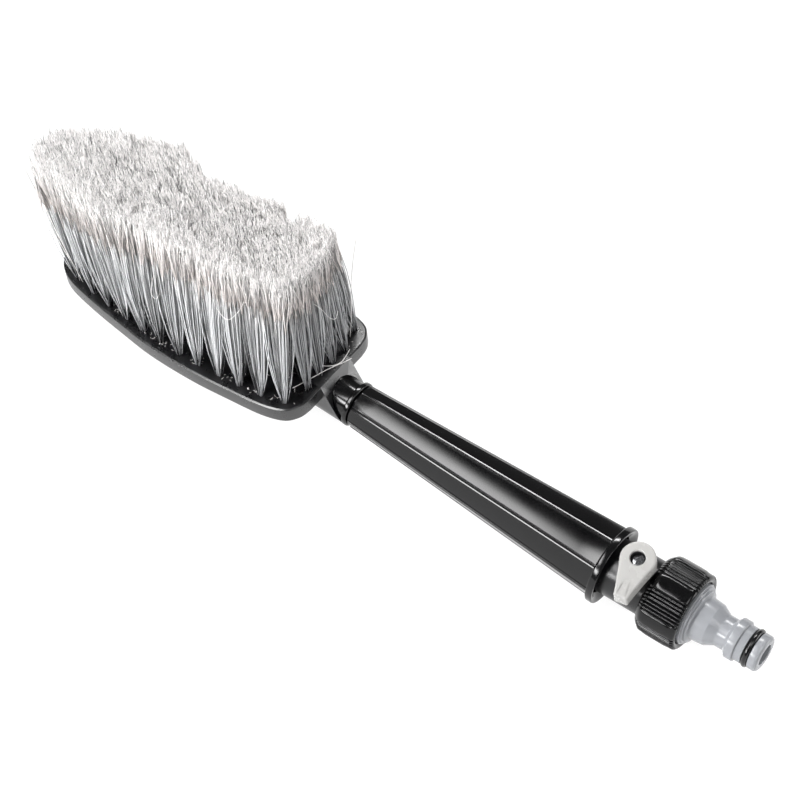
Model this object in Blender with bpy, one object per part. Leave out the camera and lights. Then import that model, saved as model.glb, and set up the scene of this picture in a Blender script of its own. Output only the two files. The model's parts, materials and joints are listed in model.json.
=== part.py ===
"""A flow-through car wash brush that lies on its back with the bristles up.

+X runs from the brush head to the hose end and +Z up through the bristles. The origin is the
centre of the flat land under the back cover. Lengths are in metres.

Four frames carry the pieces, each an empty:
- head_axis lies on the rear top edge of the head. Its X runs tailwards in the head's face, and its
  Z is the face's normal. The head stands pitched to the grip, as a brush does in use.
- grip_axis lies at the ring bead's centre, with X along the grip.
- tail_axis lies at the bend of the handle, with X along the valve, nut and nipple.
- spindle_axis lies on the valve's stem, with Z along the stem and X along the lever.
"""

import math

import bmesh
import bpy
import numpy as np
from mathutils import Matrix, Vector

# Fits. A gap of this width stands between pieces that touch, and cutters run past what they cut.
FIT = 0.0003
OVERRUN = 0.002

# Head plate, with its outline as shares of its length (from the rear edge) and of its half width.
HEAD_LENGTH = 0.1406
HEAD_HALF_WIDTH = 0.0315
HEAD_THICKNESS = 0.007
HEAD_SETBACK = 0.0116
HEAD_RISE = 0.0121
RIM_BEVEL = 0.0005
RIM_WIDTH = 0.0018
POCKET_DEPTH = 0.002
OUTLET_RADIUS = 0.0015
OUTLET_PLACE_SHARES = (0.14, 0.32, 0.5, 0.68, 0.84)
HEAD_OUTLINE_SHARES = (
    (0.0, 0.54),
    (0.012, 0.745),
    (0.046, 0.886),
    (0.11, 0.957),
    (0.23, 0.986),
    (0.36, 1.0),
    (0.53, 0.959),
    (0.66, 0.867),
    (0.81, 0.74),
    (0.914, 0.619),
    (0.965, 0.49),
    (0.997, 0.32),
    (1.0, 0.2),
)
OUTLINE_STEPS = 2

# Bristles: rows at shares of the half width, in bands of the head's face that meet at other shares.
ROW_SHARES = (0.9, 0.54, 0.18)
BAND_SHARES = (1.0, 0.73, 0.36, 0.0)
ROW_REAR_MARGINS = (0.0078, 0.0043, 0.0043)
ROW_NOSE_MARGINS = (0.01543, 0.00826, 0.00826)
ROW_COUNTS = (12, 13, 13)
ROW_PITCH_SHARE = 0.36
STRANDS_PER_TUFT = 6
STRAND_SIDES = 3
STRAND_ROOT_RADIUS = 0.00038
STRAND_TIP_RADIUS = 0.0008
STRAND_SUNK_SHARE = 0.5
ROOT_SPREAD_SHARE = 0.12
TIP_SPREAD_SHARE = 0.4
BRISTLE_HEIGHT = 0.061
BRISTLE_WAVE = 0.0012
BRISTLE_TILT_SHARE = 0.16
BRISTLE_FLARE_SHARE = 0.09
NOSE_LEAN = 0.0105

# Back cover: a hull whose lower face is a flat land in front and rises behind it.
COVER_SETBACK = 0.0196
COVER_REAR = 0.0035
COVER_INSET = 0.0015
COVER_WALL = 0.002
LAND_SETBACK = 0.003
LAND_FRONT_DEPTH = 0.004
LAND_TAIL = 0.0175
LAND_INSET = 0.012
LAND_FOLD_SHARE = 0.53
LAND_TAIL_RISE = 0.0045

# Neck of the head plate, round the front collar.
NECK_WALL = 0.0008
NECK_FRONT = 0.033
NECK_SLOPE = math.radians(55.8)
NECK_DROP = 0.0006

# Front collar with its ring bead, and the pipe through the grip.
COLLAR_STEP = 0.0016
COLLAR_FRONT = 0.0123
RING_HEIGHT = 0.0013
RING_HALF_WIDTH = 0.00115
RING_EDGE = 0.00045
SPIGOT_WALL = 0.00145
SPIGOT_LENGTH = 0.0125
PIPE_RADIUS = 0.005
PIPE_WALL = 0.0014
PIPE_FRONT = 0.024
PIPE_SEAT = 0.007
PIPE_RING_SECTION = 0.0007

# Grip: a tapered shell with flat panels between double ridges, and a flange at its rear.
GRIP_FRONT_WALL = 0.00215
GRIP_REAR_WALL = 0.00247
GRIP_LIP = 0.0009
GRIP_PANELS = 8
PANEL_DROP_SHARE = 0.045
PANEL_STEP_SHARES = (0.25, 0.5, 0.75)
RIDGE_GAP = 0.0009
RIDGE_FOOT = 0.0009
RIDGE_HEIGHT = 0.0003
FLANGE_HEIGHT = 0.00143
FLANGE_SETBACK = 0.00195
FLANGE_THICKNESS = 0.003
FLANGE_EDGE = 0.0005
FLANGE_FILLET = 0.003
GRIP_WALL = 0.0022
CAVITY_GAP = 0.0011
CAVITY_LENGTH = 0.01345
CAVITY_FLARE = 0.0011

# Valve body: a spigot on the grip's axis, then the body on the raised tail axis.
BEND = 0.12345
TAIL_RISE = math.radians(3.59)
VALVE_ROLL = math.radians(12)
BODY_RADIUS = 0.0119
BODY_FRONT = 0.0055
BODY_EDGE = 0.0004
VALVE_SPIGOT_WALL = 0.0012
VALVE_SPIGOT_LENGTH = 0.02045
PIPE_GROOVE_INSET = 0.002
WATERWAY_RADIUS = 0.004
BUSH_LENGTH = 0.0066
TAIL_GROOVE_DEPTH = 0.0009
TAIL_BEAD = 0.0046
TAIL_MARGIN = 0.00065

# Ball, seats and retainer.
SPINDLE_PLACE = 0.01565
CHAMBER_WALL = 0.0033
BALL_CLEARANCE = 0.0012
SEAT_STEP = 0.0002
SEAT_CONTACT_SHARE = 0.819
SEAT_DEPTH = 0.00225
RETAINER_LENGTH = 0.0028
BALL_SLOT_WIDTH = 0.0026
BALL_SLOT_DEPTH = 0.0022

# Spindle, its seal and gland, and the bonnet round them. Heights are above the tail axis.
STEM_RADIUS = 0.0024
DISC_LIP = 0.0012
DISC_GAP = 0.0005
DISC_THICKNESS = 0.0013
TANG_LENGTH = 0.006
SQUARE_SHARE = 0.75
SQUARE_HEIGHT = 0.002
BONNET_WALL = 0.0012
BONNET_GAP = 0.0004
GLAND_DEPTH = 0.0046
STEM_RING_SECTION = 0.0006

# Lever and its screw.
LEVER_REST = math.radians(-80)
LEVER_THICKNESS = 0.0065
LEVER_LENGTH = 0.0198
BOSS_RADIUS = 0.0071
LEVER_END_HALF = 0.00295
LEVER_END_ROUND = 0.0018
LEVER_LEAVE = math.radians(70)
LEVER_WAIST_SHARE = 1.5
LEVER_BEVEL = 0.0007
SCREW_WELL_RADIUS = 0.003
SCREW_WELL_HEIGHT = 0.0032
SCREW_HEAD_GAP = 0.0004
SCREW_HEAD_HEIGHT = 0.0012
SCREW_RADIUS = 0.0009
SCREW_LENGTH = 0.0055
CROSS_WIDTH = 0.0007
CROSS_LENGTH = 0.0034
CROSS_DEPTH = 0.0007

# Union nut, with smooth pads between groups of ribs, and the washer in it.
NUT_WALL = 0.0032
NUT_RIB_DEPTH = 0.0005
NUT_LENGTH = 0.0184
NUT_LIP = 0.002
NUT_BORE_CLEARANCE = 0.0016
NUT_CHAMFER_DEPTH = 0.0021
NUT_CHAMFER = 0.0022
NUT_EDGE = 0.0012
NUT_MOUTH = 0.0007
NUT_PADS = 6
NUT_PAD_PLACE = math.radians(15)
NUT_PAD_ANGLE = math.radians(25)
NUT_PAD_SHARES = (-0.8, -0.28, 0.28, 0.8)
NUT_RIBS = 7
WASHER_CLEARANCE = 0.001
WASHER_BORE = 0.0062
WASHER_THICKNESS = 0.0025

# Hose nipple: the lengths of its stretches from the nut to the nose, with the radius of each.
NIPPLE_BORE = 0.0044
THREAD_PROUD = 0.00075
STEP_DROPS = (0.0008, 0.0019)
STEP_LENGTH = 0.0009
BARREL_SETBACK = 0.0031
BARREL_RADIUS = 0.0094
BARREL_LENGTH = 0.0047
BARREL_END_RADIUS = 0.0089
SHOULDER_LENGTH = 0.0039
WAIST_RADIUS = 0.00675
WAIST_LENGTH = 0.0039
CATCH_RAMP = 0.0013
CATCH_RADIUS = 0.00865
CATCH_LENGTH = 0.0038
CATCH_EDGE = 0.0006
NOSE_RADIUS = 0.0077
NOSE_LENGTH = 0.0101
NOSE_ROUND = 0.0014
SEAL_SETBACK = 0.0036
SEAL_SECTION = 0.0011
SEAL_PROUD = 0.0002

# Facets of the round pieces. The valve body's bores are turned by a share of a facet to its outside.
ROUND_SIDES = 24
INNER_SIDES = 20
SMALL_SIDES = 12
RING_SIDES = 6
CUTTER_TURN_SHARE = 0.37

# Round the pipe, from its seal's gland out to the neck, the collar and the front of the grip.
PIPE_BORE = PIPE_RADIUS - PIPE_WALL
GLAND_RADIUS = PIPE_RADIUS + 2 * PIPE_RING_SECTION + 2 * FIT
GLAND_LENGTH = 2 * PIPE_RING_SECTION + 2 * FIT
COLLAR_RADIUS = GLAND_RADIUS + COLLAR_STEP
RING_RADIUS = COLLAR_RADIUS + RING_HEIGHT
NECK_RADIUS = COLLAR_RADIUS + FIT + NECK_WALL
NECK_REAR = RING_HALF_WIDTH + FIT
SOCKET_FLOOR = COLLAR_FRONT + FIT
SPIGOT_RADIUS = PIPE_RADIUS + FIT + SPIGOT_WALL
GRIP_FRONT_RADIUS = SPIGOT_RADIUS + FIT + GRIP_FRONT_WALL
VALVE_SPIGOT_RADIUS = GLAND_RADIUS + VALVE_SPIGOT_WALL

# Round the valve body, out to the flange that the handle rests on.
CAVITY_RADIUS = BODY_RADIUS + CAVITY_GAP
GRIP_REAR_RADIUS = CAVITY_RADIUS + GRIP_REAR_WALL
FLANGE_RADIUS = GRIP_REAR_RADIUS + FLANGE_HEIGHT
AXIS_HEIGHT = FLANGE_RADIUS
HEAD_HEIGHT = AXIS_HEIGHT + HEAD_RISE

# Along the grip, forward from the bend.
FLANGE_CENTRE = BEND + FLANGE_SETBACK
CAVITY_FRONT = BEND - CAVITY_LENGTH
VALVE_SPIGOT_FRONT = BEND - VALVE_SPIGOT_LENGTH
PIPE_REAR = VALVE_SPIGOT_FRONT + PIPE_SEAT

# Under the head plate.
COVER_FRONT = HEAD_LENGTH - COVER_SETBACK
COVER_HALF_WIDTH = HEAD_HALF_WIDTH - COVER_INSET
LAND_FRONT = COVER_FRONT - LAND_SETBACK
LAND_HALF_WIDTH = COVER_HALF_WIDTH - LAND_INSET
STRAND_SUNK = POCKET_DEPTH * STRAND_SUNK_SHARE

# The head is pitched so far that its cover has the named depth at the front of the land.
FACE_TO_LAND = HEAD_THICKNESS + FIT + LAND_FRONT_DEPTH
HEAD_PITCH = math.asin(HEAD_HEIGHT / math.hypot(LAND_FRONT, FACE_TO_LAND)) - math.atan2(FACE_TO_LAND, LAND_FRONT)

# In the valve body.
CHAMBER_RADIUS = BODY_RADIUS - CHAMBER_WALL
BALL_RADIUS = CHAMBER_RADIUS - BALL_CLEARANCE
BALL_SLOT_FLOOR = BALL_RADIUS - BALL_SLOT_DEPTH
SEAT_BORE = WATERWAY_RADIUS + SEAT_STEP
SEAT_CONTACT = BALL_RADIUS * SEAT_CONTACT_SHARE
SEAT_BACK = BALL_RADIUS + SEAT_DEPTH
SEAT_FRONT = SPINDLE_PLACE - SEAT_BACK
RETAINER_START = SPINDLE_PLACE + SEAT_BACK + FIT
TAIL_END = RETAINER_START + RETAINER_LENGTH + TAIL_MARGIN

# The nut, whose lip holds behind the tail's bead, and the nipple that is screwed into it.
NUT_FRONT = TAIL_END - TAIL_BEAD - FIT - NUT_LIP
NUT_REAR = NUT_FRONT + NUT_LENGTH
NUT_BORE = BODY_RADIUS + NUT_BORE_CLEARANCE
NUT_RADIUS = NUT_BORE + NUT_WALL
NUT_CHAMFER_RADIUS = NUT_RADIUS - NUT_CHAMFER_DEPTH
WASHER_RADIUS = NUT_BORE - WASHER_CLEARANCE
THREAD_RADIUS = NUT_BORE - FIT
THREAD_START = TAIL_END + WASHER_THICKNESS + 2 * FIT
THREAD_END = NUT_REAR + THREAD_PROUD
BARREL_START = THREAD_END + BARREL_SETBACK
BARREL_END = BARREL_START + BARREL_LENGTH
WAIST_START = BARREL_END + SHOULDER_LENGTH
WAIST_END = WAIST_START + WAIST_LENGTH
CATCH_START = WAIST_END + CATCH_RAMP
CATCH_END = CATCH_START + CATCH_LENGTH
NOSE_END = CATCH_END + NOSE_LENGTH
SEAL_PLACE = NOSE_END - SEAL_SETBACK
SEAL_OUTER_RADIUS = NOSE_RADIUS + SEAL_PROUD

# Up the spindle. The lever swings just clear of the nut.
LEVER_BOTTOM = NUT_RADIUS + FIT
STEM_TOP = LEVER_BOTTOM - FIT
SQUARE_HALF = STEM_RADIUS * SQUARE_SHARE
SQUARE_TOP = LEVER_BOTTOM + SQUARE_HEIGHT
SCREW_WELL_FLOOR = LEVER_BOTTOM + SCREW_WELL_HEIGHT
SCREW_HEAD_RADIUS = SCREW_WELL_RADIUS - SCREW_HEAD_GAP
DISC_RADIUS = STEM_RADIUS + DISC_LIP
DISC_BOTTOM = BALL_RADIUS + DISC_GAP
SPINDLE_SEAT = DISC_BOTTOM + DISC_THICKNESS + FIT
STEM_GLAND_RADIUS = STEM_RADIUS + 2 * STEM_RING_SECTION + 2 * FIT
BONNET_RADIUS = STEM_GLAND_RADIUS + BONNET_WALL
BONNET_TOP = LEVER_BOTTOM - BONNET_GAP
GLAND_FLOOR = BONNET_TOP - GLAND_DEPTH


def start_scene():
    """Removes every object of the scene."""
    for obj in list(bpy.data.objects):
        bpy.data.objects.remove(obj, do_unlink=True)


def make_material(name, colour, roughness, metallic=0.0):
    """A Principled material with one colour."""
    made = bpy.data.materials.new(name)
    made.use_nodes = True
    shader = made.node_tree.nodes["Principled BSDF"]
    shader.inputs["Base Color"].default_value = (*colour, 1.0)
    shader.inputs["Roughness"].default_value = roughness
    shader.inputs["Metallic"].default_value = metallic
    made.diffuse_color = (*colour, 1.0)
    return made


def add_frame(name, parent, location, rotation):
    """An empty that carries pieces."""
    frame = bpy.data.objects.new(name, None)
    bpy.context.collection.objects.link(frame)
    frame.parent = parent
    frame.location = location
    frame.rotation_euler = rotation
    return frame


def add_piece(name, shape, parent, made_of, smooth_angle=math.radians(32)):
    """An object from a bmesh, with its faces pointing out."""
    bmesh.ops.recalc_face_normals(shape, faces=shape.faces)
    mesh = bpy.data.meshes.new(name)
    shape.to_mesh(mesh)
    shape.free()
    mesh.shade_smooth()
    mesh.set_sharp_from_angle(angle=smooth_angle)
    piece = bpy.data.objects.new(name, mesh)
    bpy.context.collection.objects.link(piece)
    piece.parent = parent
    if made_of is not None:
        mesh.materials.append(made_of)
    return piece


def add_helper(name, shape, parent):
    """A shape that only cuts or extends a piece."""
    helper = add_piece(name, shape, parent, None)
    helper.hide_render = True
    helper.display_type = "WIRE"
    return helper


def combine(piece, helper, operation):
    """Cuts the piece with the helper, or joins the helper to it."""
    step = piece.modifiers.new(helper.name, "BOOLEAN")
    step.operation = operation
    step.object = helper
    step.solver = "EXACT"


def turned(profile, sides, axis="X", facet_share=0.0):
    """A shape turned about a local axis, from (along, radius) points in order round its section.

    Its corners start a share of a facet past the first direction, which is up, or along the lever.
    """
    shape = bmesh.new()
    rows = []
    for along, radius in profile:
        count = 1 if radius == 0 else sides
        row = []
        for k in range(count):
            angle = 2 * math.pi * (k + facet_share) / sides
            across = -radius * math.sin(angle)
            up = radius * math.cos(angle)
            point = (along, across, up) if axis == "X" else (up, across, along)
            row.append(shape.verts.new(point))
        rows.append(row)
    for row, after in zip(rows, rows[1:] + rows[:1]):
        if len(row) == len(after) == 1:
            continue
        for k in range(sides):
            corners = (
                row[k % len(row)],
                row[(k + 1) % len(row)],
                after[(k + 1) % len(after)],
                after[k % len(after)],
            )
            shape.faces.new(list(dict.fromkeys(corners)))
    return shape


def rod(start, end, radius):
    """The profile of a plain solid cylinder."""
    return [(start, 0), (start, radius), (end, radius), (end, 0)]


def tube(start, end, radius, bore):
    """The profile of a plain tube."""
    return [(start, bore), (start, radius), (end, radius), (end, bore)]


def ring_section(place, radius, section):
    """The profile of an O-ring."""
    points = []
    for k in range(RING_SIDES):
        angle = 2 * math.pi * k / RING_SIDES
        points.append((place + section * math.sin(angle), radius + section * math.cos(angle)))
    return points


def lofted(rings, ladder):
    """A solid through rings of points. Ladder caps join each point to the one opposite it."""
    shape = bmesh.new()
    rows = [[shape.verts.new(point) for point in ring] for ring in rings]
    count = len(rows[0])
    for row, after in zip(rows, rows[1:]):
        for k in range(count):
            following = (k + 1) % count
            shape.faces.new((row[k], row[following], after[following], after[k]))
    for row in (rows[0], rows[-1]):
        if not ladder:
            shape.faces.new(row)
            continue
        for k in range(count // 2 - 1):
            shape.faces.new((row[k], row[k + 1], row[count - 2 - k], row[count - 1 - k]))
    return shape


def box(start, end):
    """A box between two corners."""
    ring = [(start[0], start[1]), (end[0], start[1]), (end[0], end[1]), (start[0], end[1])]
    return lofted([[(x, y, z) for x, y in ring] for z in (start[2], end[2])], False)


def cut_plane(shape, point, normal):
    """Removes what lies beyond a plane and closes the cut."""
    parts = shape.verts[:] + shape.edges[:] + shape.faces[:]
    bmesh.ops.bisect_plane(shape, geom=parts, plane_co=point, plane_no=normal, clear_outer=True)
    open_edges = [edge for edge in shape.edges if edge.is_boundary]
    bmesh.ops.edgeloop_fill(shape, edges=open_edges)


def spline(points, steps):
    """A centripetal spline through the points, level along the second value at both ends."""
    before = (points[0][0], 2 * points[0][1] - points[1][1])
    after = (points[-1][0], -points[-1][1])
    knots = np.array([before, *points, after])
    made = []
    for p0, p1, p2, p3 in zip(knots, knots[1:], knots[2:], knots[3:]):
        t1 = math.dist(p0, p1) ** 0.5
        t2 = t1 + math.dist(p1, p2) ** 0.5
        t3 = t2 + math.dist(p2, p3) ** 0.5
        for step in range(steps):
            t = t1 + (t2 - t1) * step / steps
            a1 = (t1 - t) / t1 * p0 + t / t1 * p1
            a2 = (t2 - t) / (t2 - t1) * p1 + (t - t1) / (t2 - t1) * p2
            a3 = (t3 - t) / (t3 - t2) * p2 + (t - t2) / (t3 - t2) * p3
            b1 = (t2 - t) / t2 * a1 + t / t2 * a2
            b2 = (t3 - t) / (t3 - t1) * a2 + (t - t1) / (t3 - t1) * a3
            made.append((t2 - t) / (t2 - t1) * b1 + (t - t1) / (t2 - t1) * b2)
    made.append(knots[-2])
    return np.array(made)


UNIT_SIDE = spline(HEAD_OUTLINE_SHARES, OUTLINE_STEPS)


def plan_side(front, rear, half_width):
    """One side of the head's outline, from the rear edge to the nose, between two places."""
    return np.column_stack((-rear - UNIT_SIDE[:, 0] * (front - rear), UNIT_SIDE[:, 1] * half_width))


def both_sides(side):
    """The closed outline of one side and its mirror image."""
    return np.concatenate((side, side[::-1] * (1, -1)))


def inset_side(side, distance):
    """One side of an outline, drawn in by a distance."""
    ring = both_sides(side)
    edges = np.roll(ring, -1, axis=0) - ring
    edges /= np.linalg.norm(edges, axis=1)[:, None]
    normals = np.column_stack((edges[:, 1], -edges[:, 0]))
    middle = ring.mean(axis=0)
    if np.sum((ring - middle) * normals) > 0:
        normals = -normals
    last = np.roll(normals, 1, axis=0)
    mitre = (normals + last) / (1 + np.sum(normals * last, axis=1))[:, None]
    return (ring + mitre * distance)[: len(side)]


def at_height(outline, height):
    """An outline's points at one height."""
    return [(x, y, height) for x, y in outline]


HEAD_SIDE = plan_side(HEAD_LENGTH, 0, HEAD_HALF_WIDTH)
SLICE_SIDE = inset_side(HEAD_SIDE, RIM_WIDTH + FIT)


def slice_half_width(x):
    """The half width of the face that the bristles stand on, at a place along the head."""
    return float(np.interp(-x, -SLICE_SIDE[:, 0], SLICE_SIDE[:, 1]))


def head_height_of(x, height):
    """The height in the head's frame of a point x along it that lies at a height above the floor."""
    return (height - HEAD_HEIGHT - x * math.sin(HEAD_PITCH)) / math.cos(HEAD_PITCH)


def floor_place(x):
    """How far a point of the land, x along the head, lies from the head's origin along the floor."""
    return x * math.cos(HEAD_PITCH) - head_height_of(x, 0) * math.sin(HEAD_PITCH)


LAND_FOLD = LAND_TAIL + LAND_FOLD_SHARE * (LAND_FRONT - LAND_TAIL)
HEAD_PLACE = -(floor_place(-LAND_FRONT) + floor_place(-LAND_FOLD)) / 2
RING_PLACE = HEAD_PLACE + HEAD_SETBACK


def outlets():
    """The cutter of the water outlets, a row of rods along the middle of the head."""
    holes = bmesh.new()
    for share in OUTLET_PLACE_SHARES:
        bmesh.ops.create_cone(
            holes,
            cap_ends=True,
            segments=SMALL_SIDES,
            radius1=OUTLET_RADIUS,
            radius2=OUTLET_RADIUS,
            depth=HEAD_THICKNESS + 2 * OVERRUN,
            matrix=Matrix.Translation((-share * HEAD_LENGTH, 0, -HEAD_THICKNESS / 2)),
        )
    return holes


def neck(grown):
    """The neck, in the grip's frame, with its surface moved out by a distance."""
    radius = NECK_RADIUS + grown
    section = [(radius, HEAD_RISE), (-radius, HEAD_RISE)]
    for k in range(INNER_SIDES // 2 + 1):
        angle = 2 * math.pi * k / INNER_SIDES
        section.append((-radius * math.cos(angle), -radius * math.sin(angle)))
    ends = (-NECK_FRONT - grown, -NECK_REAR)
    shape = lofted([[(x, y, z) for y, z in section] for x in ends], False)
    if grown:
        return shape
    edge = Vector((-HEAD_SETBACK, 0, HEAD_RISE))
    up = Vector((-math.sin(HEAD_PITCH), 0, math.cos(HEAD_PITCH)))
    cut_plane(shape, edge - up * NECK_DROP, up)
    cut_plane(shape, edge, Vector((math.sin(NECK_SLOPE), 0, math.cos(NECK_SLOPE))))
    return shape


def make_head(head_axis, grip_axis, outlet_cutter, made_of):
    """The head plate with its pocket, outlets, neck and socket."""
    rings = (
        at_height(both_sides(HEAD_SIDE), -HEAD_THICKNESS),
        at_height(both_sides(HEAD_SIDE), -RIM_BEVEL),
        at_height(both_sides(inset_side(HEAD_SIDE, RIM_BEVEL)), 0),
    )
    head = add_piece("head_block", lofted(rings, True), head_axis, made_of)
    combine(head, add_helper("neck", neck(0), grip_axis), "UNION")
    pocket_side = both_sides(inset_side(HEAD_SIDE, RIM_WIDTH))
    pocket = lofted([at_height(pocket_side, height) for height in (-POCKET_DEPTH, OVERRUN)], True)
    combine(head, add_helper("pocket_cutter", pocket, head_axis), "DIFFERENCE")
    gland_front = SOCKET_FLOOR + GLAND_LENGTH
    socket = [
        (-NECK_FRONT - OVERRUN, 0),
        (-NECK_FRONT - OVERRUN, PIPE_RADIUS + FIT),
        (-gland_front, PIPE_RADIUS + FIT),
        (-gland_front, GLAND_RADIUS),
        (-SOCKET_FLOOR, GLAND_RADIUS),
        (-SOCKET_FLOOR, COLLAR_RADIUS + FIT),
        (OVERRUN, COLLAR_RADIUS + FIT),
        (OVERRUN, 0),
    ]
    combine(head, add_helper("socket_cutter", turned(socket, ROUND_SIDES), grip_axis), "DIFFERENCE")
    combine(head, outlet_cutter, "DIFFERENCE")


def hull(drawn_in, raised, top):
    """The back cover's hull, or its hollow, which is drawn in and raised by the wall."""
    side = plan_side(COVER_FRONT - drawn_in, COVER_REAR + drawn_in, COVER_HALF_WIDTH - drawn_in)
    upper = both_sides(side)
    inner = drawn_in - raised
    lower = both_sides(plan_side(LAND_FRONT - inner, LAND_TAIL + inner, LAND_HALF_WIDTH - inner))
    shares = both_sides(UNIT_SIDE)[:, 0]
    floor = []
    for (x, y), share in zip(lower, shares):
        rise = LAND_TAIL_RISE * max(0.0, 1 - share / LAND_FOLD_SHARE)
        floor.append((x, y, head_height_of(x, rise + raised)))
    rings = [floor, at_height(upper, -HEAD_THICKNESS - FIT)]
    if top:
        rings.append(at_height(upper, -HEAD_THICKNESS - FIT + top))
    return lofted(rings, True)


def make_back_cover(head_axis, grip_axis, made_of):
    """The hull that closes the water chamber under the head plate."""
    cover = add_piece("back_cover", hull(0, 0, 0), head_axis, made_of)
    chamber = hull(COVER_WALL * math.sqrt(2), COVER_WALL, OVERRUN)
    combine(cover, add_helper("chamber_cutter", chamber, head_axis), "DIFFERENCE")
    combine(cover, add_helper("neck_notch", neck(FIT), grip_axis), "DIFFERENCE")


def tip_of(x, y):
    """Where a bristle that stands at a place of the head's face ends."""
    share = -x / HEAD_LENGTH
    wave = BRISTLE_WAVE * math.sin(5 * math.pi * share) * math.cos(2 * math.pi * y / HEAD_HALF_WIDTH)
    tip_x = x - NOSE_LEAN * share**2
    tip_y = y * (1 + BRISTLE_FLARE_SHARE)
    return tip_x, tip_y, BRISTLE_HEIGHT - BRISTLE_TILT_SHARE * tip_y + wave


def add_strand(shape, root, tip, turn):
    """One bristle strand: a slim prism from its root to its tip."""
    rows = []
    for (x, y, z), radius in ((root, STRAND_ROOT_RADIUS), (tip, STRAND_TIP_RADIUS)):
        row = []
        for k in range(STRAND_SIDES):
            angle = turn + 2 * math.pi * k / STRAND_SIDES
            row.append(shape.verts.new((x + radius * math.cos(angle), y + radius * math.sin(angle), z)))
        rows.append(row)
    for k in range(STRAND_SIDES):
        following = (k + 1) % STRAND_SIDES
        shape.faces.new((rows[0][k], rows[0][following], rows[1][following], rows[1][k]))
    shape.faces.new(rows[0])
    shape.faces.new(rows[1])


def strands_of_row(side, level):
    """All strands of one row, on one side of the head's middle."""
    shape = bmesh.new()
    row_length = HEAD_LENGTH - ROW_REAR_MARGINS[level] - ROW_NOSE_MARGINS[level]
    tuft_pitch = row_length / (ROW_COUNTS[level] - 1)
    for tuft in range(ROW_COUNTS[level]):
        x = -ROW_REAR_MARGINS[level] - tuft * tuft_pitch
        half_width = slice_half_width(x)
        y = side * ROW_SHARES[level] * half_width
        tip_x, tip_y, _ = tip_of(x, y)
        for k in range(STRANDS_PER_TUFT):
            angle = 2 * math.pi * k / STRANDS_PER_TUFT
            along = tuft_pitch * math.cos(angle)
            across = ROW_PITCH_SHARE * half_width * math.sin(angle)
            root = (x + ROOT_SPREAD_SHARE * along, y + ROOT_SPREAD_SHARE * across, -STRAND_SUNK)
            end_x = tip_x + TIP_SPREAD_SHARE * along
            end_y = tip_y + TIP_SPREAD_SHARE * across
            end_z = tip_of(end_x, end_y)[2]
            add_strand(shape, root, (end_x, end_y, end_z), angle)
    return shape


def band(side, level):
    """The slice of the head's face that a row of bristles stands in."""
    outer = SLICE_SIDE * (1, side * BAND_SHARES[level])
    inner = SLICE_SIDE * (1, side * BAND_SHARES[level + 1])
    if level > 0:
        outer = outer - (0, side * FIT / 2)
    inner = inner + (0, side * FIT / 2)
    ring = np.concatenate((outer, inner[::-1]))
    return lofted([at_height(ring, height) for height in (FIT - POCKET_DEPTH, 0)], True)


def make_bristles(head_axis, outlet_cutter, made_of):
    """Six rows of bristles, each fused to its slice, from the near side to the far side."""
    levels = list(enumerate(ROW_SHARES))
    rows = [(-1, level) for level, _ in levels] + [(1, level) for level, _ in reversed(levels)]
    for number, (side, level) in enumerate(rows, 1):
        row = add_piece(f"bristle_row_{number}", band(side, level), head_axis, made_of)
        if BAND_SHARES[level + 1] == 0:
            combine(row, outlet_cutter, "DIFFERENCE")
        strands = add_helper(f"strands_{number}", strands_of_row(side, level), head_axis)
        combine(row, strands, "UNION")


def make_collar_and_pipe(grip_axis, black, white, rubber):
    """The front collar, the water pipe and the seal between the pipe and the neck."""
    profile = [
        (-COLLAR_FRONT, PIPE_RADIUS + FIT),
        (-COLLAR_FRONT, COLLAR_RADIUS),
        (-RING_HALF_WIDTH, COLLAR_RADIUS),
        (-RING_HALF_WIDTH, RING_RADIUS - RING_EDGE),
        (-RING_HALF_WIDTH + RING_EDGE, RING_RADIUS),
        (RING_HALF_WIDTH - RING_EDGE, RING_RADIUS),
        (RING_HALF_WIDTH, RING_RADIUS - RING_EDGE),
        (RING_HALF_WIDTH, SPIGOT_RADIUS),
        (RING_HALF_WIDTH + SPIGOT_LENGTH, SPIGOT_RADIUS),
        (RING_HALF_WIDTH + SPIGOT_LENGTH, PIPE_RADIUS + FIT),
    ]
    add_piece("front_collar", turned(profile, ROUND_SIDES), grip_axis, black)
    pipe = tube(-PIPE_FRONT, PIPE_REAR, PIPE_RADIUS, PIPE_BORE)
    add_piece("water_pipe", turned(pipe, INNER_SIDES), grip_axis, white)
    place = -SOCKET_FLOOR - GLAND_LENGTH / 2
    seal_radius = PIPE_RADIUS + FIT + PIPE_RING_SECTION
    seal = ring_section(place, seal_radius, PIPE_RING_SECTION)
    add_piece("neck_o_ring", turned(seal, INNER_SIDES), grip_axis, rubber)


def grip_ring(along, radius, detail):
    """One ring round the grip: double ridges with hollow panels between them, or with neither."""
    foot = RIDGE_GAP / 2 + RIDGE_FOOT / 2
    ridge = ((-foot, 0), (-RIDGE_GAP / 2, RIDGE_HEIGHT), (0, 0), (RIDGE_GAP / 2, RIDGE_HEIGHT), (foot, 0))
    pitch = 2 * math.pi / GRIP_PANELS
    places = []
    for panel in range(GRIP_PANELS):
        centre = panel * pitch
        for offset, height in ridge:
            places.append((centre + offset / radius, radius + height * detail))
        open_angle = pitch - 2 * foot / radius
        for share in PANEL_STEP_SHARES:
            drop = PANEL_DROP_SHARE * radius * math.sin(math.pi * share) * detail
            places.append((centre + foot / radius + share * open_angle, radius - drop))
    return [(along, -r * math.sin(angle), r * math.cos(angle)) for angle, r in places]


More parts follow.
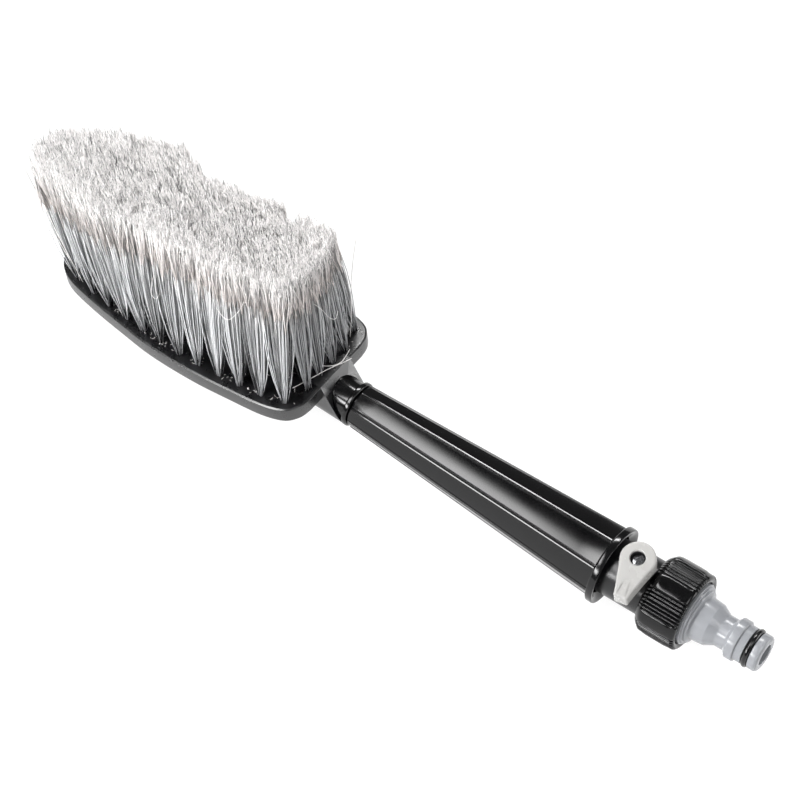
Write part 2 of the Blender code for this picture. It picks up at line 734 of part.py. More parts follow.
def make_grip(grip_axis, made_of):
    """The grip's shell."""
    front = RING_HALF_WIDTH + FIT
    flange_front = FLANGE_CENTRE - FLANGE_THICKNESS / 2
    flange_rear = FLANGE_CENTRE + FLANGE_THICKNESS / 2
    fillet_start = flange_front - FLANGE_FILLET

    def cone(along):
        return GRIP_FRONT_RADIUS + (GRIP_REAR_RADIUS - GRIP_FRONT_RADIUS) * along / FLANGE_CENTRE

    rings = [
        grip_ring(front, cone(front) - GRIP_LIP / 2, 0),
        grip_ring(front + GRIP_LIP, cone(front + GRIP_LIP), 1),
        grip_ring(fillet_start, cone(fillet_start), 1),
        grip_ring(flange_front - FLANGE_FILLET / 3, cone(flange_front) + FLANGE_EDGE / 2, 0.5),
        grip_ring(flange_front, FLANGE_RADIUS - FLANGE_EDGE, 0),
        grip_ring(flange_front + FLANGE_EDGE, FLANGE_RADIUS, 0),
        grip_ring(flange_rear - FLANGE_EDGE, FLANGE_RADIUS, 0),
        grip_ring(flange_rear, FLANGE_RADIUS - FLANGE_EDGE, 0),
    ]
    grip = add_piece("grip", lofted(rings, False), grip_axis, made_of)
    spigot_end = RING_HALF_WIDTH + SPIGOT_LENGTH + FIT
    hollow = [
        (front - OVERRUN, 0),
        (front - OVERRUN, SPIGOT_RADIUS + FIT),
        (spigot_end, SPIGOT_RADIUS + FIT),
        (CAVITY_FRONT, cone(CAVITY_FRONT) * (1 - PANEL_DROP_SHARE) - GRIP_WALL),
        (CAVITY_FRONT, CAVITY_RADIUS),
        (flange_rear - CAVITY_FLARE, CAVITY_RADIUS),
        (flange_rear, CAVITY_RADIUS + CAVITY_FLARE),
        (flange_rear + OVERRUN, CAVITY_RADIUS + CAVITY_FLARE + OVERRUN),
        (flange_rear + OVERRUN, 0),
    ]
    combine(grip, add_helper("grip_hollow", turned(hollow, ROUND_SIDES), grip_axis), "DIFFERENCE")


def make_valve_body(grip_axis, tail_axis, spindle_axis, made_of):
    """The valve's body: spigot, body, bonnet and tail, with its bores."""
    groove = NUT_FRONT - FIT
    bead = NUT_FRONT + NUT_LIP + FIT
    groove_radius = BODY_RADIUS - TAIL_GROOVE_DEPTH
    body = [
        (-BODY_FRONT, 0),
        (-BODY_FRONT, BODY_RADIUS),
        (groove - BODY_EDGE, BODY_RADIUS),
        (groove, BODY_RADIUS - BODY_EDGE),
        (groove, groove_radius),
        (bead, groove_radius),
        (bead, BODY_RADIUS),
        (TAIL_END - BODY_EDGE, BODY_RADIUS),
        (TAIL_END, BODY_RADIUS - BODY_EDGE),
        (TAIL_END, 0),
    ]
    valve = add_piece("valve_body", turned(body, ROUND_SIDES), tail_axis, made_of)
    spigot = rod(VALVE_SPIGOT_FRONT, BEND, VALVE_SPIGOT_RADIUS)
    combine(valve, add_helper("valve_spigot", turned(spigot, INNER_SIDES), grip_axis), "UNION")
    bonnet = rod(CHAMBER_RADIUS + FIT, BONNET_TOP, BONNET_RADIUS)
    combine(valve, add_helper("bonnet", turned(bonnet, INNER_SIDES, "Z"), spindle_axis), "UNION")

    groove_start = VALVE_SPIGOT_FRONT + PIPE_GROOVE_INSET
    groove_end = groove_start + GLAND_LENGTH
    waterway = [
        (VALVE_SPIGOT_FRONT - OVERRUN, 0),
        (VALVE_SPIGOT_FRONT - OVERRUN, PIPE_RADIUS + FIT),
        (groove_start, PIPE_RADIUS + FIT),
        (groove_start, GLAND_RADIUS),
        (groove_end, GLAND_RADIUS),
        (groove_end, PIPE_RADIUS + FIT),
        (PIPE_REAR + FIT, PIPE_RADIUS + FIT),
        (PIPE_REAR + FIT, WATERWAY_RADIUS),
        (BEND + OVERRUN, WATERWAY_RADIUS),
        (BEND + OVERRUN, 0),
    ]
    water_shape = turned(waterway, INNER_SIDES, facet_share=CUTTER_TURN_SHARE)
    combine(valve, add_helper("waterway_cutter", water_shape, grip_axis), "DIFFERENCE")
    chamber = [
        (-OVERRUN, 0),
        (-OVERRUN, SEAT_BORE + FIT),
        (SEAT_FRONT - FIT, SEAT_BORE + FIT),
        (SEAT_FRONT - FIT, CHAMBER_RADIUS),
        (TAIL_END + OVERRUN, CHAMBER_RADIUS),
        (TAIL_END + OVERRUN, 0),
    ]
    chamber_shape = turned(chamber, INNER_SIDES, facet_share=CUTTER_TURN_SHARE)
    combine(valve, add_helper("ball_chamber_cutter", chamber_shape, tail_axis), "DIFFERENCE")
    stem = [
        (DISC_BOTTOM - OVERRUN, 0),
        (DISC_BOTTOM - OVERRUN, DISC_RADIUS + FIT),
        (SPINDLE_SEAT, DISC_RADIUS + FIT),
        (SPINDLE_SEAT, STEM_RADIUS + FIT),
        (GLAND_FLOOR, STEM_RADIUS + FIT),
        (GLAND_FLOOR, STEM_GLAND_RADIUS),
        (BONNET_TOP + OVERRUN, STEM_GLAND_RADIUS),
        (BONNET_TOP + OVERRUN, 0),
    ]
    stem_shape = turned(stem, INNER_SIDES, "Z", CUTTER_TURN_SHARE)
    combine(valve, add_helper("stem_cutter", stem_shape, spindle_axis), "DIFFERENCE")


def make_valve_fittings(grip_axis, tail_axis, spindle_axis, white, rubber):
    """The bush, seals, seats, retainer and gland."""
    bush = tube(
        CAVITY_FRONT + FIT,
        CAVITY_FRONT + FIT + BUSH_LENGTH,
        CAVITY_RADIUS - FIT,
        VALVE_SPIGOT_RADIUS + FIT,
    )
    add_piece("rear_bush", turned(bush, INNER_SIDES), grip_axis, white)
    place = VALVE_SPIGOT_FRONT + PIPE_GROOVE_INSET + GLAND_LENGTH / 2
    seal = ring_section(place, PIPE_RADIUS + FIT + PIPE_RING_SECTION, PIPE_RING_SECTION)
    add_piece("pipe_o_ring", turned(seal, INNER_SIDES), grip_axis, rubber)

    clear_radius = BALL_RADIUS + FIT
    lip = math.sqrt(clear_radius**2 - SEAT_BORE**2)
    contact = math.sqrt(clear_radius**2 - SEAT_CONTACT**2)
    middle_radius = (SEAT_BORE + SEAT_CONTACT) / 2
    middle = math.sqrt(clear_radius**2 - middle_radius**2)
    seat = (
        (SEAT_BACK, SEAT_BORE),
        (SEAT_BACK, CHAMBER_RADIUS - FIT),
        (contact, CHAMBER_RADIUS - FIT),
        (contact, SEAT_CONTACT),
        (middle, middle_radius),
        (lip, SEAT_BORE),
    )
    for name, way in (("seat_front", -1), ("seat_rear", 1)):
        profile = [(SPINDLE_PLACE + way * along, radius) for along, radius in seat]
        add_piece(name, turned(profile, INNER_SIDES), tail_axis, white)
    retainer = tube(RETAINER_START, RETAINER_START + RETAINER_LENGTH, CHAMBER_RADIUS - FIT, SEAT_BORE)
    add_piece("seat_retainer", turned(retainer, INNER_SIDES), tail_axis, white)

    ring_height = GLAND_FLOOR + FIT + STEM_RING_SECTION
    stem_ring = ring_section(ring_height, STEM_RADIUS + FIT + STEM_RING_SECTION, STEM_RING_SECTION)
    add_piece("spindle_o_ring", turned(stem_ring, SMALL_SIDES, "Z"), spindle_axis, rubber)
    gland = tube(
        ring_height + STEM_RING_SECTION + FIT,
        BONNET_TOP,
        STEM_GLAND_RADIUS - FIT,
        STEM_RADIUS + FIT,
    )
    add_piece("spindle_gland", turned(gland, SMALL_SIDES, "Z"), spindle_axis, white)


def make_ball(spindle_axis, made_of):
    """The ball with its cross bore along the lever and the slot for the spindle's tang."""
    profile = []
    for k in range(INNER_SIDES // 2 + 1):
        angle = 2 * math.pi * k / INNER_SIDES
        at_pole = k in (0, INNER_SIDES // 2)
        radius = 0 if at_pole else BALL_RADIUS * math.sin(angle)
        profile.append((-BALL_RADIUS * math.cos(angle), radius))
    ball = add_piece("valve_ball", turned(profile, INNER_SIDES, "Z"), spindle_axis, made_of)
    reach = BALL_RADIUS + OVERRUN
    bore = add_helper("ball_bore", turned(rod(-reach, reach, WATERWAY_RADIUS), INNER_SIDES), spindle_axis)
    combine(ball, bore, "DIFFERENCE")
    slot = box((-BALL_SLOT_WIDTH / 2, -reach, BALL_SLOT_FLOOR), (BALL_SLOT_WIDTH / 2, reach, reach))
    combine(ball, add_helper("ball_slot", slot, spindle_axis), "DIFFERENCE")


def make_spindle(spindle_axis, made_of):
    """The stem with its disc, its tang below and its square above."""
    disc_top = DISC_BOTTOM + DISC_THICKNESS
    profile = [
        (DISC_BOTTOM, 0),
        (DISC_BOTTOM, DISC_RADIUS),
        (disc_top, DISC_RADIUS),
        (disc_top, STEM_RADIUS),
        (STEM_TOP, STEM_RADIUS),
        (STEM_TOP, 0),
    ]
    spindle = add_piece("spindle", turned(profile, INNER_SIDES, "Z"), spindle_axis, made_of)
    half = BALL_SLOT_WIDTH / 2 - FIT
    tang = box((-half, -TANG_LENGTH / 2, BALL_SLOT_FLOOR + FIT), (half, TANG_LENGTH / 2, disc_top - FIT))
    combine(spindle, add_helper("tang", tang, spindle_axis), "UNION")
    square = box((-SQUARE_HALF, -SQUARE_HALF, STEM_TOP - FIT), (SQUARE_HALF, SQUARE_HALF, SQUARE_TOP))
    combine(spindle, add_helper("square", square, spindle_axis), "UNION")
    bottom = SCREW_WELL_FLOOR - SCREW_LENGTH
    hole = rod(bottom - FIT, SQUARE_TOP + OVERRUN, SCREW_RADIUS + FIT)
    combine(spindle, add_helper("screw_hole", turned(hole, SMALL_SIDES, "Z"), spindle_axis), "DIFFERENCE")


def lever_outline():
    """The teardrop outline of the lever, with its boss on the spindle."""
    start_x = BOSS_RADIUS * math.cos(LEVER_LEAVE)
    start_y = BOSS_RADIUS * math.sin(LEVER_LEAVE)
    corner_x = LEVER_LENGTH - LEVER_END_ROUND
    side = []
    for k in range(SMALL_SIDES // 2 + 1):
        angle = math.pi + (LEVER_LEAVE - math.pi) * k / (SMALL_SIDES // 2)
        side.append((BOSS_RADIUS * math.cos(angle), BOSS_RADIUS * math.sin(angle)))
    arm_steps = SMALL_SIDES // 4
    for k in range(1, arm_steps + 1):
        share = k / arm_steps
        spare = (start_y - LEVER_END_HALF) * (1 - share) ** LEVER_WAIST_SHARE
        side.append((start_x + (corner_x - start_x) * share, LEVER_END_HALF + spare))
    for k in range(1, arm_steps + 1):
        angle = math.pi / 2 * (1 - k / arm_steps)
        y = LEVER_END_HALF - LEVER_END_ROUND + LEVER_END_ROUND * math.sin(angle)
        side.append((corner_x + LEVER_END_ROUND * math.cos(angle), y))
    return side + [(x, -y) for x, y in reversed(side[1:])]


def make_lever(spindle_axis, grey, steel):
    """The lever on the spindle's square, and the screw in its well."""
    heights = (LEVER_BOTTOM, LEVER_BOTTOM + LEVER_THICKNESS)
    outline = lever_outline()
    shape = lofted([at_height(outline, height) for height in heights], False)
    lever = add_piece("lever", shape, spindle_axis, grey)
    bevel = lever.modifiers.new("soft_edges", "BEVEL")
    bevel.width = LEVER_BEVEL
    bevel.segments = 2
    bevel.limit_method = "ANGLE"
    bevel.angle_limit = math.radians(50)
    half = SQUARE_HALF + FIT
    socket = box((-half, -half, LEVER_BOTTOM - OVERRUN), (half, half, SQUARE_TOP + FIT))
    combine(lever, add_helper("lever_socket", socket, spindle_axis), "DIFFERENCE")
    top = LEVER_BOTTOM + LEVER_THICKNESS + OVERRUN
    well = [
        (SQUARE_TOP, 0),
        (SQUARE_TOP, SCREW_RADIUS + FIT),
        (SCREW_WELL_FLOOR, SCREW_RADIUS + FIT),
        (SCREW_WELL_FLOOR, SCREW_WELL_RADIUS),
        (top, SCREW_WELL_RADIUS),
        (top, 0),
    ]
    combine(lever, add_helper("screw_well", turned(well, INNER_SIDES, "Z"), spindle_axis), "DIFFERENCE")

    head_bottom = SCREW_WELL_FLOOR + FIT
    head_top = head_bottom + SCREW_HEAD_HEIGHT
    profile = [
        (SCREW_WELL_FLOOR - SCREW_LENGTH, 0),
        (SCREW_WELL_FLOOR - SCREW_LENGTH, SCREW_RADIUS),
        (head_bottom, SCREW_RADIUS),
        (head_bottom, SCREW_HEAD_RADIUS),
        (head_top - SCREW_HEAD_HEIGHT / 3, SCREW_HEAD_RADIUS),
        (head_top, SCREW_HEAD_RADIUS - SCREW_HEAD_HEIGHT / 3),
        (head_top, 0),
    ]
    screw = add_piece("lever_screw", turned(profile, SMALL_SIDES, "Z"), spindle_axis, steel)
    long_half = CROSS_LENGTH / 2
    wide_half = CROSS_WIDTH / 2
    floor = head_top - CROSS_DEPTH
    for name, half_x, half_y in (("cross_along", long_half, wide_half), ("cross_over", wide_half, long_half)):
        recess = box((-half_x, -half_y, floor), (half_x, half_y, head_top + OVERRUN))
        combine(screw, add_helper(name, recess, spindle_axis), "DIFFERENCE")


def nut_ring(along, radius, detail):
    """One ring round the nut: smooth pads with a group of ribs after each, or a plain ring."""
    pitch = 2 * math.pi / NUT_PADS
    rib_pitch = (pitch - NUT_PAD_ANGLE) / NUT_RIBS
    root = radius - NUT_RIB_DEPTH * detail
    points = []
    for pad in range(NUT_PADS):
        centre = NUT_PAD_PLACE + pad * pitch
        for share in NUT_PAD_SHARES:
            points.append((centre + share * NUT_PAD_ANGLE / 2, radius))
        for rib in range(NUT_RIBS):
            start = centre + NUT_PAD_ANGLE / 2 + rib * rib_pitch
            points.append((start, root))
            points.append((start + rib_pitch / 2, radius))
        points.append((centre + pitch - NUT_PAD_ANGLE / 2, root))
    return [(along, -r * math.sin(angle), r * math.cos(angle)) for angle, r in points]


def make_nut(tail_axis, black, rubber):
    """The union nut on the valve's tail, and the washer in it."""
    rings = [
        nut_ring(NUT_FRONT, NUT_CHAMFER_RADIUS, 0),
        nut_ring(NUT_FRONT + NUT_CHAMFER, NUT_RADIUS, 1),
        nut_ring(NUT_REAR - NUT_EDGE, NUT_RADIUS, 1),
        nut_ring(NUT_REAR, NUT_RADIUS - NUT_EDGE, 0),
    ]
    nut = add_piece("union_nut", lofted(rings, False), tail_axis, black)
    bore = [
        (NUT_FRONT - OVERRUN, 0),
        (NUT_FRONT - OVERRUN, BODY_RADIUS - TAIL_GROOVE_DEPTH + FIT),
        (NUT_FRONT + NUT_LIP, BODY_RADIUS - TAIL_GROOVE_DEPTH + FIT),
        (NUT_FRONT + NUT_LIP, NUT_BORE),
        (NUT_REAR - NUT_MOUTH, NUT_BORE),
        (NUT_REAR, NUT_BORE + NUT_MOUTH),
        (NUT_REAR + OVERRUN, NUT_BORE + NUT_MOUTH + OVERRUN),
        (NUT_REAR + OVERRUN, 0),
    ]
    combine(nut, add_helper("nut_bore", turned(bore, ROUND_SIDES), tail_axis), "DIFFERENCE")
    start = TAIL_END + FIT
    washer = tube(start, start + WASHER_THICKNESS, WASHER_RADIUS, WASHER_BORE)
    add_piece("hose_washer", turned(washer, INNER_SIDES), tail_axis, rubber)


def make_nipple(tail_axis, grey, rubber):
    """The hose nipple with its threaded end, catch collar and nose, and its seal."""
    seal_radius = SEAL_OUTER_RADIUS - SEAL_SECTION
    groove_floor = seal_radius - SEAL_SECTION - FIT
    groove_half = SEAL_SECTION + FIT
    profile = [(THREAD_START, NIPPLE_BORE), (THREAD_START, THREAD_RADIUS), (THREAD_END, THREAD_RADIUS)]
    along = THREAD_END
    for drop in STEP_DROPS:
        profile.append((along, THREAD_RADIUS - drop))
        along += STEP_LENGTH
        profile.append((along, THREAD_RADIUS - drop))
    profile += [
        (BARREL_START - STEP_LENGTH, BARREL_RADIUS),
        (BARREL_START, BARREL_RADIUS),
        (BARREL_END, BARREL_END_RADIUS),
        (WAIST_START, WAIST_RADIUS),
        (WAIST_END, WAIST_RADIUS),
        (CATCH_START, CATCH_RADIUS - CATCH_EDGE),
        (CATCH_START + CATCH_EDGE, CATCH_RADIUS),
        (CATCH_END - CATCH_EDGE, CATCH_RADIUS),
        (CATCH_END, NOSE_RADIUS),
        (SEAL_PLACE - groove_half, NOSE_RADIUS),
        (SEAL_PLACE - groove_half, groove_floor),
        (SEAL_PLACE + groove_half, groove_floor),
        (SEAL_PLACE + groove_half, NOSE_RADIUS),
        (NOSE_END - NOSE_ROUND, NOSE_RADIUS),
        (NOSE_END - NOSE_ROUND / 3, NOSE_RADIUS - NOSE_ROUND / 3),
        (NOSE_END, NOSE_RADIUS - NOSE_ROUND),
        (NOSE_END, NIPPLE_BORE),
    ]
    add_piece("hose_nipple", turned(profile, ROUND_SIDES), tail_axis, grey)
    seal = ring_section(SEAL_PLACE, seal_radius, SEAL_SECTION)
    add_piece("nipple_o_ring", turned(seal, ROUND_SIDES), tail_axis, rubber)


def main():
    """Makes the materials, the frames and the pieces."""
    start_scene()
    black = make_material("black_plastic", (0.02, 0.02, 0.022), 0.35)
    gloss_black = make_material("gloss_black_plastic", (0.012, 0.012, 0.014), 0.15)
    grey = make_material("light_grey_plastic", (0.55, 0.55, 0.56), 0.4)
    inner = make_material("inner_plastic", (0.6, 0.6, 0.58), 0.5)
    fibre = make_material("bristle_fibre", (0.75, 0.74, 0.72), 0.6)
    rubber = make_material("black_rubber", (0.015, 0.015, 0.015), 0.7)
    steel = make_material("screw_steel", (0.5, 0.5, 0.5), 0.3, 1.0)
    brass = make_material("stem_brass", (0.6, 0.45, 0.18), 0.3, 1.0)

    head_axis = add_frame("head_axis", None, (HEAD_PLACE, 0, HEAD_HEIGHT), (0, -HEAD_PITCH, 0))
    grip_axis = add_frame("grip_axis", None, (RING_PLACE, 0, AXIS_HEIGHT), (0, 0, 0))
    tail_axis = add_frame("tail_axis", grip_axis, (BEND, 0, 0), (0, -TAIL_RISE, 0))
    valve_axis = add_frame("valve_axis", tail_axis, (SPINDLE_PLACE, 0, 0), (VALVE_ROLL, 0, 0))
    spindle_axis = add_frame("spindle_axis", valve_axis, (0, 0, 0), (0, 0, LEVER_REST))

    outlet_cutter = add_helper("outlet_cutter", outlets(), head_axis)
    make_head(head_axis, grip_axis, outlet_cutter, black)
    make_back_cover(head_axis, grip_axis, black)
    make_bristles(head_axis, outlet_cutter, fibre)
    make_collar_and_pipe(grip_axis, gloss_black, inner, rubber)
    make_grip(grip_axis, gloss_black)
    make_valve_body(grip_axis, tail_axis, spindle_axis, black)
    make_valve_fittings(grip_axis, tail_axis, spindle_axis, inner, rubber)
    make_ball(spindle_axis, brass)
    make_spindle(spindle_axis, brass)
    make_lever(spindle_axis, grey, steel)
    make_nut(tail_axis, gloss_black, rubber)
    make_nipple(tail_axis, grey, rubber)


main()
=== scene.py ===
"""Looks of the flow-through car wash brush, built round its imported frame.

The brush lies on its back with the bristles up. +X runs from the head to the hose end, +Z up.
Each sub-assembly is one class: it holds its sizes in metres, or in millimetres where a name ends
in mm, works the surfaces of its pieces out as numpy arrays in a frame of its own, and dresses
them. Angles round a turned piece start at the top and grow towards -Y, the side that the
photograph shows.
"""

import json
import logging
import math
from dataclasses import dataclass, field
from enum import Enum

import bpy
import numpy as np
from mathutils import Matrix, Vector


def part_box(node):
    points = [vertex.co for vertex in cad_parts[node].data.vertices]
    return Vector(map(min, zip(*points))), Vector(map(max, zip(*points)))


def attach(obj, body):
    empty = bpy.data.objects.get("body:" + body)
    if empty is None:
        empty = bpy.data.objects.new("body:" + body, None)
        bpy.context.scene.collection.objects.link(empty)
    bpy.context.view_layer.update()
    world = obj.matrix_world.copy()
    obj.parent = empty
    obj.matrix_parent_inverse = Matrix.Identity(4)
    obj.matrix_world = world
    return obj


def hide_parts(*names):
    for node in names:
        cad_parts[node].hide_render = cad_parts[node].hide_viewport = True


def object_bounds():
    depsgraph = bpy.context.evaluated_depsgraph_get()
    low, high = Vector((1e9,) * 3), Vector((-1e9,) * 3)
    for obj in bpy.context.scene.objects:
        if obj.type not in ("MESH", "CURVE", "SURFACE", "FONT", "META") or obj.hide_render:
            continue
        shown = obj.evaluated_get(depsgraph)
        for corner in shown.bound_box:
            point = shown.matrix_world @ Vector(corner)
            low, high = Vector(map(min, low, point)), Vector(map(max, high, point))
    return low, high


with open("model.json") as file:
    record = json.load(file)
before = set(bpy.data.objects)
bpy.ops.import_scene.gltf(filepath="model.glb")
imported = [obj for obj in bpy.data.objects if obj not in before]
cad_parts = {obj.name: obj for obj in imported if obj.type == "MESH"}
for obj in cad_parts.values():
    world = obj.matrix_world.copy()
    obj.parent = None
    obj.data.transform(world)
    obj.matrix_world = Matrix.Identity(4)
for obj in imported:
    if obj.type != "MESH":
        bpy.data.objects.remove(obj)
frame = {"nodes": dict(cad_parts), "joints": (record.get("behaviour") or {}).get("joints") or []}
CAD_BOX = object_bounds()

LOG = logging.getLogger("car_wash_brush")
MILLIMETRE = 0.001
SMALL_GAP = 0.0003
SHARP_EDGE = math.radians(35)
QUARTER, TURN = math.pi / 2, 2 * math.pi
WIDE_SIDES, MIDDLE_SIDES, SLIM_SIDES = 96, 72, 48  # chords round a turned piece
STEEP = 0.7  # a strand that runs along X by less than this takes X as the helper of its spokes
UPRIGHT = [2, 1, 0]  # swaps the places of X and Z, so that a turned shape stands on its axis

Pair = tuple[float, float]
Point = tuple[float, float, float]


class Body(str, Enum):
    """The moving groups of the brush."""

    BRUSH = "brush"
    LEVER = "lever"
    SWIVEL = "swivel"


class Slot(str, Enum):
    """The record's material slots, by name."""

    BLACK_SATIN = "black_satin"
    BLACK_GLOSS = "black_gloss"
    LIGHT_GREY = "light_grey"
    FIBRE = "fibre"
    RUBBER = "rubber"
    STEEL = "steel"


class Cap(Enum):
    """How the two open ends of a surface are closed."""

    FAN = "fan"
    LADDER = "ladder"
    LOOP = "loop"


# Frames that the shapes are worked out in

def unit(vector: np.ndarray) -> np.ndarray:
    """A vector, or a stack of them, scaled to length one."""
    return vector / np.linalg.norm(vector, axis=-1, keepdims=True)


@dataclass(frozen=True)
class Axes:
    """A place and two directions that a shape is worked out in. The third is up x along."""

    origin: np.ndarray
    along: np.ndarray
    up: np.ndarray

    def world(self, points: np.ndarray) -> np.ndarray:
        """Local points in the row frame: origin + x * along + y * across + z * up."""
        return self.origin + points @ np.array([self.along, np.cross(self.up, self.along), self.up])


@dataclass(frozen=True)
class Layout:
    """Where the frames of the brush lie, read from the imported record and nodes."""

    collar_front: float = 0.0123
    head_setback: float = 0.0116
    head_rise: float = 0.0121
    head_pitch: float = math.radians(8.69)
    nut_front: float = 0.02215
    bonnet_top: float = 0.0166
    lever_rest: float = math.radians(-80)

    def joint(self, name: str) -> tuple[np.ndarray, np.ndarray]:
        """The place and the unit axis of the record's joint of that name."""
        joint = next(joint for joint in frame["joints"] if joint["name"] == name)
        return np.array(joint["pos_m"]), unit(np.array(joint["axis"]))

    def grip(self) -> Axes:
        """The ring bead's centre, with X along the grip.

        Returns:
            The frame, level, with Z straight up.
        """
        low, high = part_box("front_collar")
        origin = np.array([low.x + self.collar_front, 0, (low.z + high.z) / 2])
        return Axes(origin, np.array([1.0, 0, 0]), np.array([0, 0, 1.0]))

    def head(self) -> Axes:
        """The rear top edge of the head, with Z square to its face.

        Returns:
            The frame, pitched so that X rises towards the grip.
        """
        origin = self.grip().origin + (-self.head_setback, 0, self.head_rise)
        cos, sin = math.cos(self.head_pitch), math.sin(self.head_pitch)
        return Axes(origin, np.array([cos, 0, sin]), np.array([-sin, 0, cos]))

    def tail(self) -> Axes:
        """The bend of the handle, with X along the valve, nut and nipple."""
        place, along = self.joint("swivel_turn")
        return Axes(place - along * self.nut_front, along, np.cross(along, (0, 1.0, 0)))

    def spindle(self) -> Axes:
        """The valve's stem, with Z up the stem and X along the lever.

        Returns:
            The frame. X is the tail's direction v turned about the stem's axis u by the angle a:
            v cos a + (u x v) sin a + u (u . v)(1 - cos a).
        """
        place, up = self.joint("lever_turn")
        ahead = self.tail().along
        cos, sin = math.cos(self.lever_rest), math.sin(self.lever_rest)
        along = ahead * cos + np.cross(up, ahead) * sin + up * (up @ ahead) * (1 - cos)
        return Axes(place - up * self.bonnet_top, along, up)


# Surfaces worked out with numpy

def polar(along: np.ndarray | float, radius: np.ndarray, angle: np.ndarray) -> np.ndarray:
    """Points round the local X axis: (along, -radius sin angle, radius cos angle)."""
    return np.stack(np.broadcast_arrays(along, -radius * np.sin(angle), radius * np.cos(angle)), axis=-1)


def turned(profile: np.ndarray, sides: int) -> np.ndarray:
    """A surface of revolution about the local X axis, as rings through (along, radius) rows."""
    return polar(profile[:, 0, None], profile[:, 1, None], np.arange(sides) * TURN / sides)


def in_metres(rows: tuple) -> np.ndarray:
    """A table of sizes in millimetres as an array in metres."""
    return np.array(rows) * MILLIMETRE


def at_height(outline: np.ndarray, height: np.ndarray | float) -> np.ndarray:
    """A plane outline as a ring at one height, or with a height for each point."""
    return np.column_stack((outline, np.broadcast_to(height, len(outline))))


def rounded(corners: np.ndarray, steps: int = 4, closed: bool = False) -> np.ndarray:
    """A line through corners, each rounded by an arc.

    Args:
        corners: (along, radius, fillet) for each corner. A fillet of zero keeps the corner sharp.
        steps: How many chords stand for each arc.
        closed: Whether the line joins up with its start.

    Returns:
        Points (along, radius). The arc at a corner touches both sides at fillet * tan(half the turn),
        and its points lie at equal angles about the arc's centre.
    """
    points, count = corners[:, :2], len(corners)
    made = []
    for k, fillet in enumerate(corners[:, 2]):
        if fillet == 0 or (not closed and k in (0, count - 1)):
            made.append(points[k][None])
            continue
        back = unit(points[k - 1] - points[k])
        ahead = unit(points[(k + 1) % count] - points[k])
        half = math.acos(np.clip(back @ ahead, -1, 1)) / 2
        inward, side = unit(back + ahead), unit(ahead - back)
        sweep = np.linspace(-1, 1, steps + 1)[:, None] * (QUARTER - half)
        centre = points[k] + inward * fillet / math.sin(half)
        made.append(centre - inward * fillet * np.cos(sweep) + side * fillet * np.sin(sweep))
    return np.concatenate(made)


def neighbours(points: np.ndarray) -> list[np.ndarray]:
    """The four neighbours of each span of a line whose first and last points only guide it."""
    return [points[k: len(points) - 3 + k, None] for k in range(4)]


def spline(points: tuple[Pair, ...], steps: int) -> np.ndarray:
    """A centripetal spline through points, level along the second value at both ends.

    Args:
        points: (place, value) rows, the last of which lies near the mirror line.
        steps: How many chords stand between two points.

    Returns:
        Points on the spline, each span blended from its four neighbours with knots at the root of
        the distance between them.
    """
    before = (points[0][0], 2 * points[0][1] - points[1][1])
    knots = np.array([before, *points, (points[-1][0], -points[-1][1])])
    p = neighbours(knots)
    gaps = [np.linalg.norm(p[k + 1] - p[k], axis=-1, keepdims=True) ** 0.5 for k in range(3)]
    t0, t1, t2, t3 = 0, gaps[0], gaps[0] + gaps[1], gaps[0] + gaps[1] + gaps[2]
    t = t1 + (t2 - t1) * (np.arange(steps) / steps)[None, :, None]

    def blend(a: np.ndarray, b: np.ndarray, low: np.ndarray | int, high: np.ndarray) -> np.ndarray:
        """The point between a and b that t reaches on its way from low to high."""
        return ((high - t) * a + (t - low) * b) / (high - low)

    a1, a2, a3 = blend(p[0], p[1], t0, t1), blend(p[1], p[2], t1, t2), blend(p[2], p[3], t2, t3)
    spans = blend(blend(a1, a2, t0, t2), blend(a2, a3, t1, t3), t1, t2)
    return np.concatenate((spans.reshape(-1, 2), knots[-2:-1]))


def inset(ring: np.ndarray, distance: float) -> np.ndarray:
    """A closed plane outline drawn in by a distance, along the mitre of the two edges at each point.

    Args:
        ring: The outline, (points, 2).
        distance: How far to draw it in.

    Returns:
        The outline drawn in, with as many points.
    """
    edges = unit(np.roll(ring, -1, axis=0) - ring)
    normals = np.column_stack((edges[:, 1], -edges[:, 0]))
    if np.sum((ring - ring.mean(axis=0)) * normals) > 0:
        normals = -normals
    last = np.roll(normals, 1, axis=0)
    mitre = (normals + last) / (1 + np.sum(normals * last, axis=1))[:, None]
    return ring + mitre * distance


def smooth_step(value: np.ndarray) -> np.ndarray:
    """The soft step 3 v^2 - 2 v^3 of a value held between 0 and 1."""
    held = np.clip(value, 0, 1)
    return held * held * (3 - 2 * held)


def hex_colour(code: str) -> tuple[float, float, float, float]:
    """An sRGB hex colour as linear red, green, blue and alpha.

    Args:
        code: The colour, as # and six hex digits.

    Returns:
        Each part by the sRGB curve, a straight foot and then the power 2.4, and an alpha of one.
    """
    parts = np.array([int(code[k: k + 2], 16) for k in (1, 3, 5)]) / 255
    linear = np.where(parts <= 0.04045, parts / 12.92, ((parts + 0.055) / 1.055) ** 2.4)
    return (*linear.tolist(), 1.0)


def spokes(way: np.ndarray, helper: np.ndarray | Point, sides: int) -> np.ndarray:
    """Unit spokes square to a direction, evenly round it, for each direction in a stack.

    Args:
        way: The unit directions, (n, 3).
        helper: A vector that lies along none of them. The first spoke is square to both.
        sides: How many spokes there are.

    Returns:
        (n, sides, 3), each of them right cos a + ahead sin a.
    """
    right = unit(np.cross(way, helper))
    ahead = np.cross(way, right)
    angle = np.arange(sides)[:, None] * TURN / sides
    return right[:, None] * np.cos(angle) + ahead[:, None] * np.sin(angle)


